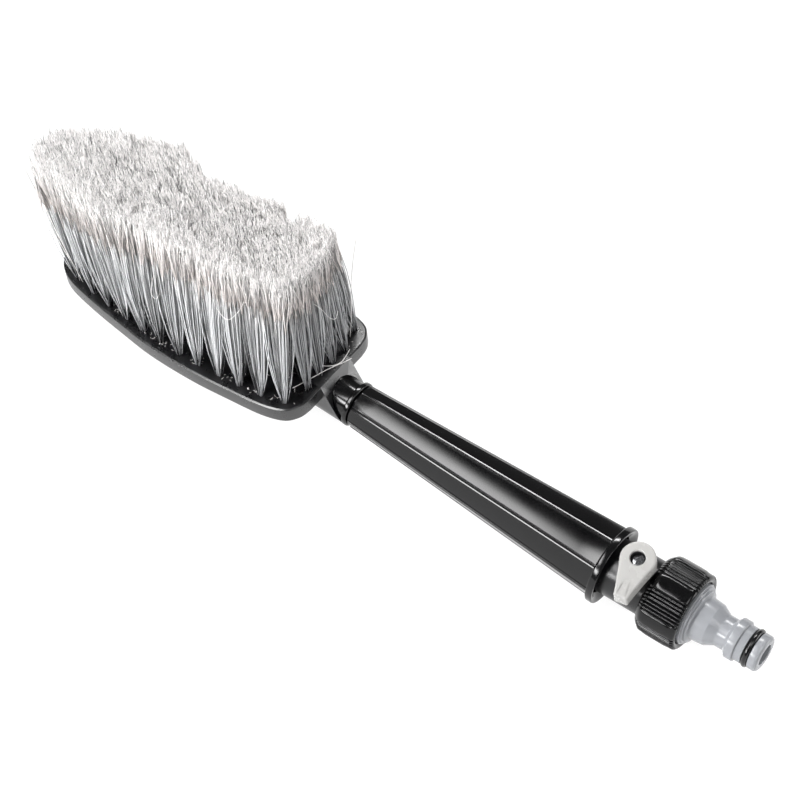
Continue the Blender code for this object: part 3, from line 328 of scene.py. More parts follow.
@dataclass
class Shell:
    """The points and faces of one piece, gathered from one or more closed surfaces."""

    points: list[np.ndarray] = field(default_factory=list)
    corners: list[np.ndarray] = field(default_factory=list)
    sizes: list[np.ndarray] = field(default_factory=list)
    total: int = 0

    def add_faces(self, *corners: np.ndarray) -> None:
        """Adds faces with the same number of corners, numbered from the shell's first point.

        Args:
            corners: For each corner of a face, an array of point numbers.
        """
        faces = np.stack(np.broadcast_arrays(*corners), -1).reshape(-1, len(corners))
        self.corners.append(faces.ravel())
        self.sizes.append(np.full(len(faces), len(corners)))

    def add_points(self, points: np.ndarray) -> int:
        """Adds points to the shell.

        Args:
            points: Points, with X, Y and Z in the last axis.

        Returns:
            The number of the first of them.
        """
        first = self.total
        self.points.append(points.reshape(-1, 3))
        self.total += len(self.points[-1])
        return first

    def add_rings(self, rings: np.ndarray, cap: Cap) -> None:
        """Adds a surface through rings of points, each ring closed on itself.

        Args:
            rings: (rows, sides, 3), with quads between neighbours.
            cap: FAN closes each end with triangles to its middle, LADDER with quads across it, and
                LOOP joins the last ring to the first.
        """
        rows, sides = rings.shape[:2]
        first = self.add_points(rings)
        row = first + np.arange(rows if cap is Cap.LOOP else rows - 1)[:, None] * sides
        after = first + (row - first + sides) % (rows * sides)
        side = np.arange(sides)
        beside = (side + 1) % sides
        self.add_faces(row + side, row + beside, after + beside, after + side)
        for end, way in () if cap is Cap.LOOP else ((0, 1), (rows - 1, -1)):
            start = first + end * sides
            if cap is Cap.LADDER:
                k = start + np.arange(sides // 2 - 1)
                far = 2 * start + sides - 1 - k
                self.add_faces(*(k + 1, k, far, far - 1)[::way])
            else:
                middle = self.add_points(rings[end].mean(axis=0))
                self.add_faces(*(start + beside, start + side, np.array(middle))[::way])

    def add_strands(self, paths: np.ndarray, radii: np.ndarray, sides: int = 3) -> None:
        """Adds many thin closed strands at once.

        Args:
            paths: (strands, stations, 3), the points that each strand follows.
            radii: (strands, stations), the radius at each.
            sides: How many sides a strand has, which is also the corners of its two ends.
        """
        count, stations = paths.shape[:2]
        way = unit(paths[:, -1] - paths[:, 0])
        spoke = spokes(way, np.where(np.abs(way[:, :1]) < STEEP, (1.0, 0, 0), (0, 1.0, 0)), sides)
        first = self.add_points(paths[:, :, None] + radii[:, :, None, None] * spoke[:, None])
        low = first + (np.arange(count)[:, None, None] * stations + np.arange(stations - 1)[:, None]) * sides
        side = np.arange(sides)
        beside = (side + 1) % sides
        self.add_faces(low + side, low + beside, low + sides + beside, low + sides + side)
        ends = [first + np.arange(count) * stations * sides + k for k in range(sides)]
        self.add_faces(*ends[::-1])
        self.add_faces(*(end + (stations - 1) * sides for end in ends))

    def mesh(self, axes: Axes, sharp: float = SHARP_EDGE) -> bpy.types.Mesh:
        """Makes the mesh in the row frame, with its faces pointing out.

        Args:
            axes: The frame that the points are in.
            sharp: Edges that turn by more than this stay sharp.

        Returns:
            The mesh. Six times its volume, the sum of each face fan's triple product, tells
            whether its faces point in, and then each face is reversed.
        """
        points = axes.world(np.concatenate(self.points))
        corners, sizes = np.concatenate(self.corners), np.concatenate(self.sizes)
        starts = np.concatenate(([0], np.cumsum(sizes)[:-1]))
        volume = 0.0
        for begins, (second, third) in ((starts, (1, 2)), (starts[sizes == 4], (2, 3))):
            a, b, c = (points[corners[begins + k]] for k in (0, second, third))
            volume += np.einsum("ij,ij->", a - points.mean(axis=0), np.cross(b - a, c - a))
        if volume < 0:
            ends, begins = np.repeat(starts + sizes - 1, sizes), np.repeat(starts, sizes)
            corners = corners[ends - (np.arange(len(corners)) - begins)]
        mesh = bpy.data.meshes.new("surface")
        mesh.vertices.add(len(points))
        mesh.vertices.foreach_set("co", points.astype(np.float32).ravel())
        mesh.loops.add(len(corners))
        mesh.loops.foreach_set("vertex_index", corners.astype(np.int32))
        mesh.polygons.add(len(sizes))
        mesh.polygons.foreach_set("loop_start", starts.astype(np.int32))
        mesh.update(calc_edges=True)
        mesh.validate()
        mesh.shade_smooth()
        mesh.set_sharp_from_angle(angle=sharp)
        return mesh


def surface(rings: np.ndarray, cap: Cap, axes: Axes, sharp: float = SHARP_EDGE) -> bpy.types.Mesh:
    """The mesh of one closed surface through rings of points.

    Args:
        rings: (rows, sides, 3).
        cap: How its two ends are closed.
        axes: The frame that the rings are in.
        sharp: Edges that turn by more than this stay sharp.

    Returns:
        The mesh, in the row frame.
    """
    shell = Shell()
    shell.add_rings(rings, cap)
    return shell.mesh(axes, sharp)


# Finishes

def per_metre(size_mm: float) -> float:
    """The texture scale at which one cell of a pattern is a size in millimetres."""
    return 1000 / size_mm


def add_node(
    tree: bpy.types.NodeTree, kind: str, settings: dict | None = None, links: dict | None = None, out: int | str = 0
) -> bpy.types.NodeSocket | None:
    """Adds one node with its settings and links.

    Args:
        tree: The node tree.
        kind: Blender's name of the node's type, less its first words ShaderNode.
        settings: Values by the name or number of an input, or else by the node's own property.
        links: Sockets to link, by the name or number of an input.
        out: The name or number of the output that is wanted.

    Returns:
        That output, or nothing for a node that has none.
    """
    node = tree.nodes.new("ShaderNode" + kind)
    for name, value in (settings or {}).items():
        if isinstance(name, int) or name in node.inputs:
            node.inputs[name].default_value = value
        else:
            setattr(node, name, value)
    for name, socket in (links or {}).items():
        tree.links.new(socket, node.inputs[name])
    return node.outputs[out] if node.outputs else None


def new_tree(name: str) -> tuple[bpy.types.Material, bpy.types.NodeTree]:
    """An empty material and its node tree.

    Args:
        name: The material's name.

    Returns:
        The material and its tree.
    """
    made = bpy.data.materials.new(name)
    made.use_nodes = True
    made.node_tree.nodes.clear()
    return made, made.node_tree


@dataclass(frozen=True)
class MouldedPlastic:
    """An injection-moulded plastic: an even colour, a tooled grain, and gloss that varies a little.

    The two tones lie a shade apart, in soft patches. The grain is a fine bump. Where the surface
    turns sharply, it is painted a little lighter in the edge colour, a painted highlight.
    """

    name: str
    colour: str
    second: str
    roughness: Pair
    patch_mm: float
    grain_mm: float
    grain_depth_mm: float
    # edge: the colour of the painted highlight where the surface turns sharply
    edge: str
    ior: float = 1.49
    edge_highlight_share: float = 0.5
    edge_highlight_turns: Pair = (0.52, 0.62)
    patch_range: Pair = (0.3, 0.7)

    def make(self) -> bpy.types.Material:
        """Makes the node tree.

        Returns:
            The material.
        """
        made, tree = new_tree(self.name)
        place = {"Vector": add_node(tree, "TexCoord", out="Object")}
        patch = {"Scale": per_metre(self.patch_mm), "Detail": 4.0, "Roughness": 0.6}
        patches = add_node(tree, "TexNoise", patch, place)
        grain = add_node(tree, "TexNoise", {"Scale": per_metre(self.grain_mm), "Detail": 2.0}, place)
        tones = {"data_type": "RGBA", 6: hex_colour(self.colour), 7: hex_colour(self.second)}
        tone = add_node(tree, "Mix", tones, {0: patches}, 2)
        # Painted highlight: where the surface turns sharply, its colour is mixed towards the edge colour
        turn = add_node(tree, "NewGeometry", out="Pointiness")
        start, end = self.edge_highlight_turns
        highlight_range = {"From Min": start, "From Max": end, "To Max": self.edge_highlight_share}
        painted_edge_light = add_node(tree, "MapRange", highlight_range, {"Value": turn})
        colour = add_node(tree, "Mix", {"data_type": "RGBA", 7: hex_colour(self.edge)}, {0: painted_edge_light, 6: tone}, 2)
        (start, end), (smooth, rough) = self.patch_range, self.roughness
        sheen = {"From Min": start, "From Max": end, "To Min": smooth, "To Max": rough}
        gloss = add_node(tree, "MapRange", sheen, {"Value": patches})
        depth = {"Strength": 1.0, "Distance": self.grain_depth_mm * MILLIMETRE}
        bump = add_node(tree, "Bump", depth, {"Height": grain})
        skin = {"Base Color": colour, "Roughness": gloss, "Normal": bump}
        shader = add_node(tree, "BsdfPrincipled", {"IOR": self.ior}, skin)
        add_node(tree, "OutputMaterial", {}, {"Surface": shader})
        return made


@dataclass(frozen=True)
class NylonFibre:
    """Drawn nylon bristle: a clear grey stem, lighter and cream towards a flagged tip.

    The light passes into each fibre and out of its neighbour, so the stems look milky and the
    split tips almost white. Each fibre has a tone of its own, and is darkened by painted shade where it
    stands deep among its neighbours; its dark attribute mixes both in towards the dark colour.
    """

    name: str
    root: str
    middle: str
    tip: str
    # dark: the colour that painted shade and each fibre's random tone mix in
    dark: str
    roughness: float
    ior: float = 1.53

    def make(self) -> bpy.types.Material:
        """Makes the node tree.

        Returns:
            The material.
        """
        made, tree = new_tree(self.name)
        along, share = (add_node(tree, "Attribute", {"attribute_name": k}, out="Fac") for k in ("along", "dark"))
        ramp = add_node(tree, "ValToRGB", {}, {"Fac": along})
        stops = ramp.node.color_ramp.elements
        stops[0].color, stops[1].color = hex_colour(self.root), hex_colour(self.tip)
        stops.new(0.5).color = hex_colour(self.middle)
        # Painted shade and random tone: the dark attribute mixes in the dark colour
        colour = add_node(tree, "Mix", {"data_type": "RGBA", 7: hex_colour(self.dark)}, {0: share, 6: ramp}, 2)
        skin = {"Roughness": self.roughness, "IOR": self.ior}
        shader = add_node(tree, "BsdfPrincipled", skin, {"Base Color": colour})
        add_node(tree, "OutputMaterial", {}, {"Surface": shader})
        return made


@dataclass(frozen=True)
class NitrileRubber:
    """Moulded black rubber, wetted with silicone grease: a dark, smooth, faintly dusty skin."""

    name: str = "nitrile_rubber_moulded"
    colour: str = "#08080a"
    dust: str = "#141415"
    roughness: float = 0.16
    ior: float = 1.52
    dust_mm: float = 1.5
    skin_mm: float = 0.25
    skin_depth_mm: float = 0.01
    dust_range: Pair = (0.45, 0.8)

    def make(self) -> bpy.types.Material:
        """Makes the node tree.

        Returns:
            The material.
        """
        made, tree = new_tree(self.name)
        place = {"Vector": add_node(tree, "TexCoord", out="Object")}
        dust = add_node(tree, "TexNoise", {"Scale": per_metre(self.dust_mm), "Detail": 5.0}, place)
        skin = add_node(tree, "TexNoise", {"Scale": per_metre(self.skin_mm)}, place)
        start, end = self.dust_range
        share = add_node(tree, "MapRange", {"From Min": start, "From Max": end}, {"Value": dust})
        tones = {"data_type": "RGBA", 6: hex_colour(self.colour), 7: hex_colour(self.dust)}
        colour = add_node(tree, "Mix", tones, {0: share}, 2)
        bump = add_node(tree, "Bump", {"Distance": self.skin_depth_mm * MILLIMETRE}, {"Height": skin})
        settings = {"Roughness": self.roughness, "IOR": self.ior}
        shader = add_node(tree, "BsdfPrincipled", settings, {"Base Color": colour, "Normal": bump})
        add_node(tree, "OutputMaterial", {}, {"Surface": shader})
        return made


@dataclass(frozen=True)
class TurnedMetal:
    """Metal turned on a lathe: fine tool marks break up its colour and its gloss."""

    name: str
    colour: str
    second: str
    roughness: Pair
    mark_mm: float = 0.18

    def make(self) -> bpy.types.Material:
        """Makes the node tree.

        Returns:
            The material.
        """
        made, tree = new_tree(self.name)
        place = {"Vector": add_node(tree, "TexCoord", out="Object")}
        marks = add_node(tree, "TexNoise", {"Scale": per_metre(self.mark_mm), "Detail": 2.0}, place)
        tones = {"data_type": "RGBA", 6: hex_colour(self.colour), 7: hex_colour(self.second)}
        colour = add_node(tree, "Mix", tones, {0: marks}, 2)
        smooth, rough = self.roughness
        gloss = add_node(tree, "MapRange", {"To Min": smooth, "To Max": rough}, {"Value": marks})
        skin = {"Base Color": colour, "Roughness": gloss}
        shader = add_node(tree, "BsdfPrincipled", {"Metallic": 1.0}, skin)
        add_node(tree, "OutputMaterial", {}, {"Surface": shader})
        return made


class Palette:
    """Every material of the brush, made once.

    Polypropylene mouldings have an index near 1.49. The head has a fine spark-eroded grain, the
    grip and nut a polished tool, and the grey parts are acetal, whose skin is satin. The head's
    higher index and the nut's lower one match the sheen that the photograph shows.
    """

    def __init__(self) -> None:
        """Makes the materials."""
        plastic, fibre, metal = MouldedPlastic, NylonFibre, TurnedMetal
        # The last colour of each plastic is the painted highlight on its sharp edges
        self.nipple = plastic(
            "acetal_mid_grey_satin", "#8d8f93", "#888a8e", (0.2, 0.26), 9, 0.45, 0.004, "#a4a6a9"
        ).make()
        self.head = plastic(
            "polypropylene_black_grained", "#08080a", "#0e0e10", (0.24, 0.34), 6, 0.5, 0.03, "#1c1c1f", 1.85
        ).make()
        self.grip = plastic(
            "polypropylene_black_polished", "#060607", "#09090a", (0.13, 0.17), 14, 0.6, 0.002, "#141415", 1.46
        ).make()
        self.valve = plastic(
            "acetal_black_satin", "#0a0a0b", "#101012", (0.26, 0.34), 5, 0.4, 0.008, "#232326"
        ).make()
        self.nut = plastic(
            "polypropylene_black_nut", "#060607", "#0a0a0b", (0.13, 0.19), 6, 0.5, 0.003, "#161618", 1.4
        ).make()
        self.grey = plastic(
            "acetal_light_grey_satin", "#aaa9a7", "#a3a2a0", (0.22, 0.3), 7, 0.45, 0.006, "#c4c3c1"
        ).make()
        self.inner = plastic(
            "polyethylene_natural", "#d2d0c8", "#c4c2ba", (0.42, 0.5), 4, 0.4, 0.006, "#dddbd4"
        ).make()
        self.stem = fibre("nylon_stem_drawn", "#e0e1e4", "#e4e5e7", "#eae7e5", "#0c0c0f", 0.24).make()
        self.tip = fibre("nylon_tip_flagged", "#ede4e0", "#f3eeec", "#f6f4f3", "#2a2a2e", 0.45).make()
        self.rubber = NitrileRubber().make()
        self.steel = metal("zinc_plated_steel", "#a4a5a8", "#77787b", (0.2, 0.3)).make()
        self.brass = metal("brass_turned", "#c9a45a", "#b18d48", (0.2, 0.32)).make()


# Putting pieces in the scene

@dataclass
class Workshop:
    """Turns meshes into pieces of the brush."""

    palette: Palette
    layout: Layout

    def piece(
        self,
        name: str,
        mesh: bpy.types.Mesh,
        finish: bpy.types.Material,
        nodes: tuple[str, ...],
        body: Body = Body.BRUSH,
    ) -> None:
        """Puts a finished mesh in the scene and ties it to the frame.

        Args:
            name: The piece's name.
            mesh: Its mesh, in the row frame.
            finish: Its material.
            nodes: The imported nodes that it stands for.
            body: The body that it rides on.
        """
        mesh.name = name
        mesh.materials.clear()
        mesh.materials.append(finish)
        made = bpy.data.objects.new(name, mesh)
        bpy.context.scene.collection.objects.link(made)
        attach(made, body.value)
        if nodes:
            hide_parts(*nodes)
        LOG.info("%s: %d faces on %s", name, len(mesh.polygons), body.value)

    def combined(
        self, base: bpy.types.Mesh, helpers: list[bpy.types.Mesh], operation: str, sharp: float = SHARP_EDGE
    ) -> bpy.types.Mesh:
        """Joins helper meshes to a mesh, or cuts it with them.

        Args:
            base: The mesh to start from.
            helpers: The meshes to join or cut with, in order. They are used up.
            operation: UNION or DIFFERENCE.
            sharp: Edges that turn by more than this stay sharp.

        Returns:
            A new mesh with the helpers applied.
        """
        used = [bpy.data.objects.new("helper", mesh) for mesh in (base, *helpers)]
        for helper in used:
            bpy.context.scene.collection.objects.link(helper)
        for helper in used[1:]:
            step = used[0].modifiers.new("step", "BOOLEAN")
            step.operation, step.object, step.solver = operation, helper, "EXACT"
        bpy.context.view_layer.update()
        evaluated = used[0].evaluated_get(bpy.context.evaluated_depsgraph_get())
        made = bpy.data.meshes.new_from_object(evaluated)
        for helper in used:
            bpy.data.objects.remove(helper)
        made.shade_smooth()
        made.set_sharp_from_angle(angle=sharp)
        return made

    def dress_nodes(self, finish: bpy.types.Material, *names: str) -> None:
        """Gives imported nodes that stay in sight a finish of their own.

        Args:
            finish: The material.
            names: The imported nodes.
        """
        for name in names:
            data = frame["nodes"][name].data
            data.materials.clear()
            data.materials.append(finish)
            LOG.info("%s: packed node with %s", name, finish.name)


# The head

@dataclass
class Head:
    """The black plate that holds the bristles, with its neck, and the cover welded under it."""

    length: float = 0.1406
    half_width: float = 0.0315
    thickness: float = 0.007
    outline_shares: tuple[Pair, ...] = (
        (0.0, 0.54), (0.012, 0.745), (0.046, 0.886), (0.11, 0.957), (0.23, 0.986), (0.36, 1.0), (0.53, 0.959),
        (0.66, 0.867), (0.81, 0.74), (0.914, 0.619), (0.965, 0.49), (0.997, 0.32), (1.0, 0.2),
    )
    outline_steps: int = 7
    wall_mm: tuple[Point, ...] = ((4, 0, 0), (0.8, 0, 0.3), (0, -0.4, 0.3), (0, -7, 0.8), (4, -7, 0))
    outlet_radius: float = 0.0015
    outlet_sides: int = 24
    outlet_shares: tuple[float, ...] = (0.14, 0.32, 0.5, 0.68, 0.84)
    neck_radius: float = 0.0097
    neck_steps: tuple[int, int, int] = (40, 8, 24)  # round its foot, up a side, over its top
    neck_front: float = 0.033
    neck_rear: float = 0.00145
    neck_slope: float = math.radians(55.8)
    neck_cutter_rise: float = 0.004
    socket_mm: tuple[Pair, ...] = ((-33.3, 5.3), (-12.6, 5.3), (-12.6, 8.9), (12.6, 8.9))
    cover_outline: Point = (0.121, 0.0035, 0.03)
    land_outline: Point = (0.118, 0.0175, 0.018)
    land_fold_share: float = 0.53
    land_tail_rise: float = 0.0045
    land_round: float = 0.003
    hull_round_share: float = 0.22
    hull_steps: int = 8
    sharp: float = math.radians(30)

    def side(self, front: float, rear: float, half_width: float) -> np.ndarray:
        """One side of the outline, from the rear edge to the nose: the unit spline, scaled."""
        shares = spline(self.outline_shares, self.outline_steps)
        return np.column_stack((-rear - shares[:, 0] * (front - rear), shares[:, 1] * half_width))

    def ring(self, front: float, rear: float, half_width: float) -> np.ndarray:
        """The closed outline: one side and its mirror image."""
        side = self.side(front, rear, half_width)
        return np.concatenate((side, side[::-1] * (1, -1)))

    def plate(self, axes: Axes) -> bpy.types.Mesh:
        """The plate: its outline swept down a wall whose top and foot are rounded.

        Args:
            axes: The head's frame.

        Returns:
            The closed mesh.
        """
        outline = self.ring(self.length, 0, self.half_width)
        wall = rounded(in_metres(self.wall_mm), steps=5)
        return surface(np.array([at_height(inset(outline, d), z) for d, z in wall]), Cap.LADDER, axes)

    def neck(self, axes: Axes, grown: float) -> bpy.types.Mesh:
        """The neck in the grip's frame: a round-bottomed bar, cut by two slopes.

        Args:
            axes: The grip's frame.
            grown: How far its surface is moved out, for a cutter.

        Returns:
            The bar. Each point of its section runs along X from the front to the lower of the rear
            plane and the slope that falls from the head's edge.
        """
        radius = self.neck_radius + grown
        foot_steps, side_steps, top_steps = self.neck_steps
        low = polar(0, radius, np.linspace(QUARTER, 3 * QUARTER, foot_steps + 1))[:, 1:]
        top = Layout.head_rise + (self.neck_cutter_rise if grown else 0)
        steps = np.linspace(0, 1, side_steps + 1)[1:-1, None]
        left = low[-1] + steps * ((low[-1][0], top) - low[-1])
        roof = at_height(np.linspace(low[-1][0], low[0][0], top_steps + 1)[:, None], top)
        section = np.concatenate((low, left, roof, roof[-1] + steps * (low[0] - roof[-1])))
        slope = -Layout.head_setback + (Layout.head_rise - section[:, 1]) / math.tan(self.neck_slope)
        rear = np.full(len(section), -self.neck_rear) if grown else np.minimum(-self.neck_rear, slope)
        front = np.full(len(section), -self.neck_front - grown)
        return surface(np.array([np.column_stack((x, section)) for x in (front, rear)]), Cap.FAN, axes)

    def build(self, shop: Workshop) -> None:
        """Makes the head block and the back cover.

        Args:
            shop: The workshop that puts the pieces in the scene.
        """
        axes, grip = shop.layout.head(), shop.layout.grip()
        holes, depth = Shell(), 2 * self.thickness
        for share in self.outlet_shares:
            rod = turned(np.array([(0, self.outlet_radius), (depth, self.outlet_radius)]), self.outlet_sides)
            upright = rod[..., [1, 2, 0]] - (share * self.length, 0, 0.75 * depth)
            holes.add_rings(upright, Cap.FAN)
        socket = surface(turned(in_metres(self.socket_mm), MIDDLE_SIDES), Cap.FAN, grip)
        block = shop.combined(self.plate(axes), [self.neck(grip, 0)], "UNION", self.sharp)
        block = shop.combined(block, [socket, holes.mesh(axes)], "DIFFERENCE", self.sharp)
        shop.piece("head_block_moulded", block, shop.palette.head, ("head_block",))
        hull = surface(self.hull_rings(axes), Cap.LADDER, axes)
        hull = shop.combined(hull, [self.neck(grip, SMALL_GAP)], "DIFFERENCE", self.sharp)
        shop.piece("back_cover_moulded", hull, shop.palette.head, ("back_cover",))

    def on_floor(self, outline: np.ndarray, height: np.ndarray, axes: Axes) -> np.ndarray:
        """An outline as a ring whose points lie at heights above the floor."""
        pitch = Layout.head_pitch
        return at_height(outline, (height - axes.origin[2] - outline[:, 0] * math.sin(pitch)) / math.cos(pitch))

    def hull_rings(self, axes: Axes) -> np.ndarray:
        """The cover's hull: the upper outline drawn to the land's, with a rounded edge between them.

        Args:
            axes: The head's frame.

        Returns:
            The upper ring, then rings along a parabola (1 - t)^2 start + 2 t (1 - t) foot + t^2 heart.
        """
        upper, lower = self.ring(*self.cover_outline), self.ring(*self.land_outline)
        shares = spline(self.outline_shares, self.outline_steps)[:, 0]
        share = np.concatenate((shares, shares[::-1]))
        rise = self.land_tail_rise * smooth_step(1 - share / self.land_fold_share)
        top = at_height(upper, -self.thickness - SMALL_GAP)
        foot = self.on_floor(lower, rise, axes)
        heart = self.on_floor(inset(lower, self.land_round), rise, axes)
        start = foot + (top - foot) * self.hull_round_share
        t = np.linspace(0, 1, self.hull_steps + 1)[:, None, None]
        return np.concatenate((top[None], (1 - t) ** 2 * start + 2 * t * (1 - t) * foot + t**2 * heart))


# The bristles

def paint(mesh: bpy.types.Mesh, **values: np.ndarray | float) -> None:
    """Stores one value for each point of a mesh, under the names that a fibre's finish reads.

    Args:
        mesh: The fibres.
        values: By name, an array with a value for each point, or one value for all.
    """
    for name, value in values.items():
        attribute = mesh.attributes.new(name, "FLOAT", "POINT")
        spread = np.broadcast_to(np.asarray(value, np.float32), len(mesh.vertices))
        attribute.data.foreach_set("value", np.ascontiguousarray(spread))


def faded(value: np.ndarray, fade: Pair) -> np.ndarray:
    """The soft step of a value from where a fade starts, over how much it runs."""
    start, run = fade
    return smooth_step((value - start) / run)


@dataclass
class Bristles:
    """Tufts of flagged nylon in three rows each side of the middle.

    The tips of the rear two thirds lean in to the middle, and those of the front stand wider and
    lean forward over the nose, which leaves a step in the cut surface on the far side. Leans are
    (share of the head's length, share of y by which a tip stands out of line with its root), and a
    fade is (where it starts, over how much it runs).
    """

    head: Head
    row_shares: Point = (0.9, 0.54, 0.18)
    rear_margins: Point = (0.0078, 0.0043, 0.0043)
    nose_margins: Point = (0.01543, 0.00826, 0.00826)
    row_counts: tuple[int, int, int] = (12, 13, 13)
    slice_inset: float = 0.0021
    sunk: float = 0.0005
    tuft_radius: float = 0.0013
    fibres: int = 84
    flags: int = 6
    sides: int = 3
    stations: int = 5
    fibre_radius: float = 0.00021
    flag_radii: Point = (0.000169, 0.0001495, 0.0000585)
    flag_stations: Point = (0, 0.72, 1)
    # Painted shade: the shares and strengths below darken fibres and flags, to stand for the shade between crowded
    # fibres and deep in the bed
    shaded_share: float = 0.45
    flag_shaded_share: float = 0.25
    flag_tones: Pair = (0.78, 0.03)
    flag_shade: Point = (0.32, 0.14, 0.0)
    lit_edge_flag_share: float = 0.85
    root_shade: float = 0.5
    tip_clearing: float = 0.4
    inner_ends: Pair = (0.0055, 0.008)
    inner_roots: Pair = (0.0032, 0.006)
    rear_root: float = 0.0035
    tones: Point = (0.9, 0.1, 0.35)
    astray_share: float = 0.07
    astray_reach: float = 0.006
    end_scatter: Point = (0.0009, 0.0007, 0.0007)
    edge_scatter: float = 0.0007
    tuft_scatter: float = 0.0006
    flag_scatter: Point = (0.0009, 0.0009, 0.00072)
    kink: float = 0.0006
    bow: float = 0.0013
    nose_reach: float = 0.145
    far_nose_curve: float = 75.0
    far_nose_start: float = 0.003
    near_nose_curve: float = 27.0
    rear_reach: float = 0.003
    rear_lean_curve: float = 17.0
    rear_lean_length: float = 0.04
    height: float = 0.0612
    tilt_share: float = 0.16
    nose_drop: float = 0.0012
    nose_drop_fade: Pair = (0.7, 0.3)
    near_lean: tuple[Pair, ...] = ((0.0, -0.19), (0.52, -0.19), (0.61, 0.02), (0.7, 0.06), (1.0, 0.05))
    far_lean: tuple[Pair, ...] = (
        (0.0, -0.06), (0.14, -0.12), (0.17, -0.22), (0.207, -0.42), (0.24, -0.2), (0.283, -0.16), (0.36, -0.22),
        (0.5, -0.26), (0.55, -0.24), (0.6, -0.02), (0.65, 0.16), (0.76, 0.17), (0.85, 0.07), (1.0, 0.03),
    )
    fan_power: float = 0.66
    nose_lean: float = 0.0072
    edge_shift: float = 0.0024
    cell_share: float = 0.18
    edge_cell_share: float = 0.75
    overlap: float = 1.12
    bundles: int = 9
    flag_length: float = 0.0162
    flag_length_spread: float = 0.003
    nose_flag_share: float = 0.35
    nose_flag_fade: Pair = (0.6, 0.3)
    seed: int = 7

    def slice_half_width(self, x: np.ndarray) -> np.ndarray:
        """The half width of the face that the tufts stand on, at places along the head.

        Args:
            x: The places, from 0 at the rear edge to minus the length.

        Returns:
            The half width at each.
        """
        length = self.head.length - self.slice_inset
        side = self.head.side(length, self.slice_inset, self.head.half_width - self.slice_inset)
        return np.interp(-x, -side[:, 0], side[:, 1])

    def held_back(self, x: np.ndarray, y: np.ndarray) -> np.ndarray:
        """Tip places held short of the nose's edge, a parabola each side of the middle, and of the rear.

        Args:
            x: Their places along the head.
            y: Their places across it.

        Returns:
            The places along the head, held.
        """
        far = self.far_nose_curve * np.maximum(y - self.far_nose_start, 0) ** 2
        nose_edge = self.nose_reach - far - self.near_nose_curve * np.minimum(y, 0) ** 2
        return np.clip(x, -nose_edge, -self.rear_reach)

    def tip_height(self, x: np.ndarray, y: np.ndarray) -> np.ndarray:
        """The height of the cut surface: level less a tilt across, and rounded down over the nose.

        Args:
            x: Their places along the head.
            y: Their places across it.

        Returns:
            The height at each place.
        """
        across = np.clip(y / self.slice_half_width(x) + 1.0, 0, 2) / 2
        drop = self.nose_drop * across * faded(-x / self.head.length, self.nose_drop_fade)
        return self.height - self.tilt_share * y - drop

    def build(self, shop: Workshop) -> None:
        """Makes each row's stems and flagged tips, from the near side to the far side."""
        for number, (side, level) in enumerate(((-1, 0), (-1, 1), (-1, 2), (1, 2), (1, 1), (1, 0)), 1):
            self.build_row(shop, number, side, level)

    def build_row(self, shop: Workshop, number: int, side: int, level: int) -> None:
        """One row of tufts.

        Each fibre starts in its tuft's hole and runs to a place in the tuft's cell of the cut
        surface. Its tuft leans evenly, and its own offset from the tuft's middle grows as t to the
        power fan_power, so that the fibres fan out at once and then run nearly upright. Its last
        stretch splits into flags. A fibre gets darker the deeper it stands in the bed, where its
        neighbours take its light, and its flags do so below their ends. At the rear, tips on the
        far side lean away from the handle by a parabola of y.

        Args:
            shop: The workshop.
            number: The row's number.
            side: -1 on the near side, 1 on the far side.
            level: 0 for the outer row, 2 for the inner one.
        """
        rng = np.random.default_rng(self.seed + number)
        count, length = self.row_counts[level], self.head.length
        rear = self.rear_margins[level]
        pitch = (length - rear - self.nose_margins[level]) / (count - 1)
        x = -rear - np.arange(count) * pitch
        half = self.slice_half_width(x)
        y = side * self.row_shares[level] * half
        places = np.array(self.far_lean if side > 0 and level == 0 else self.near_lean)
        lean = 1 + np.interp(-x / length, places[:, 0], places[:, 1])
        tip_x, tip_y = x - self.nose_lean * (x / length) ** 2, y * lean
        across = self.cell_share * half * lean
        if level == 0:
            tip_y -= side * self.edge_shift
            across *= self.edge_cell_share
        shape = (count, self.fibres)
        x, y, half, lean, tip_x, tip_y, across = (row[:, None] for row in (x, y, half, lean, tip_x, tip_y, across))
        spot = rng.uniform(-1, 1, (*shape, 2))
        angle = np.arctan2(spot[..., 1], spot[..., 0])
        disc = self.tuft_radius * spot * (np.abs(spot).max(axis=-1) / np.linalg.norm(spot, axis=-1))[..., None]
        root = np.stack((x + disc[..., 0], y + disc[..., 1], np.full(shape, -self.sunk)), -1)
        end_x = tip_x + pitch / 2 * self.overlap * spot[..., 0] + rng.normal(0, self.end_scatter[0], shape)
        end_y = tip_y + across * self.overlap * spot[..., 1] + rng.normal(0, self.end_scatter[1], shape)
        astray = rng.uniform(0, 1, shape) < self.astray_share
        end_x += astray * rng.normal(0, self.astray_reach, shape)
        end_y -= astray * np.sign(y) * np.abs(rng.normal(0, self.astray_reach, shape))
        end_x = self.held_back(end_x, end_y) + rng.normal(0, self.edge_scatter, shape)
        rear_gap = -end_x
        rear_share = 1 - smooth_step(rear_gap / self.rear_lean_length)
        end_x -= self.rear_lean_curve * np.maximum(end_y, 0) ** 2 * rear_share
        lump = rng.normal(0, self.tuft_scatter, (count, 1))
        end_z = self.tip_height(end_x, end_y) + lump + rng.normal(0, self.end_scatter[2], shape)
        end = np.stack((end_x, end_y, end_z), -1)
        # How far a tip and a root stand inside the bed, which sets how much painted shade they get
        end_inner = faded(np.minimum(half * lean - np.abs(end_y), rear_gap), self.inner_ends)
        root_inner = faded(np.minimum(half - np.abs(root[..., 1]), -self.rear_root - x), self.inner_roots)

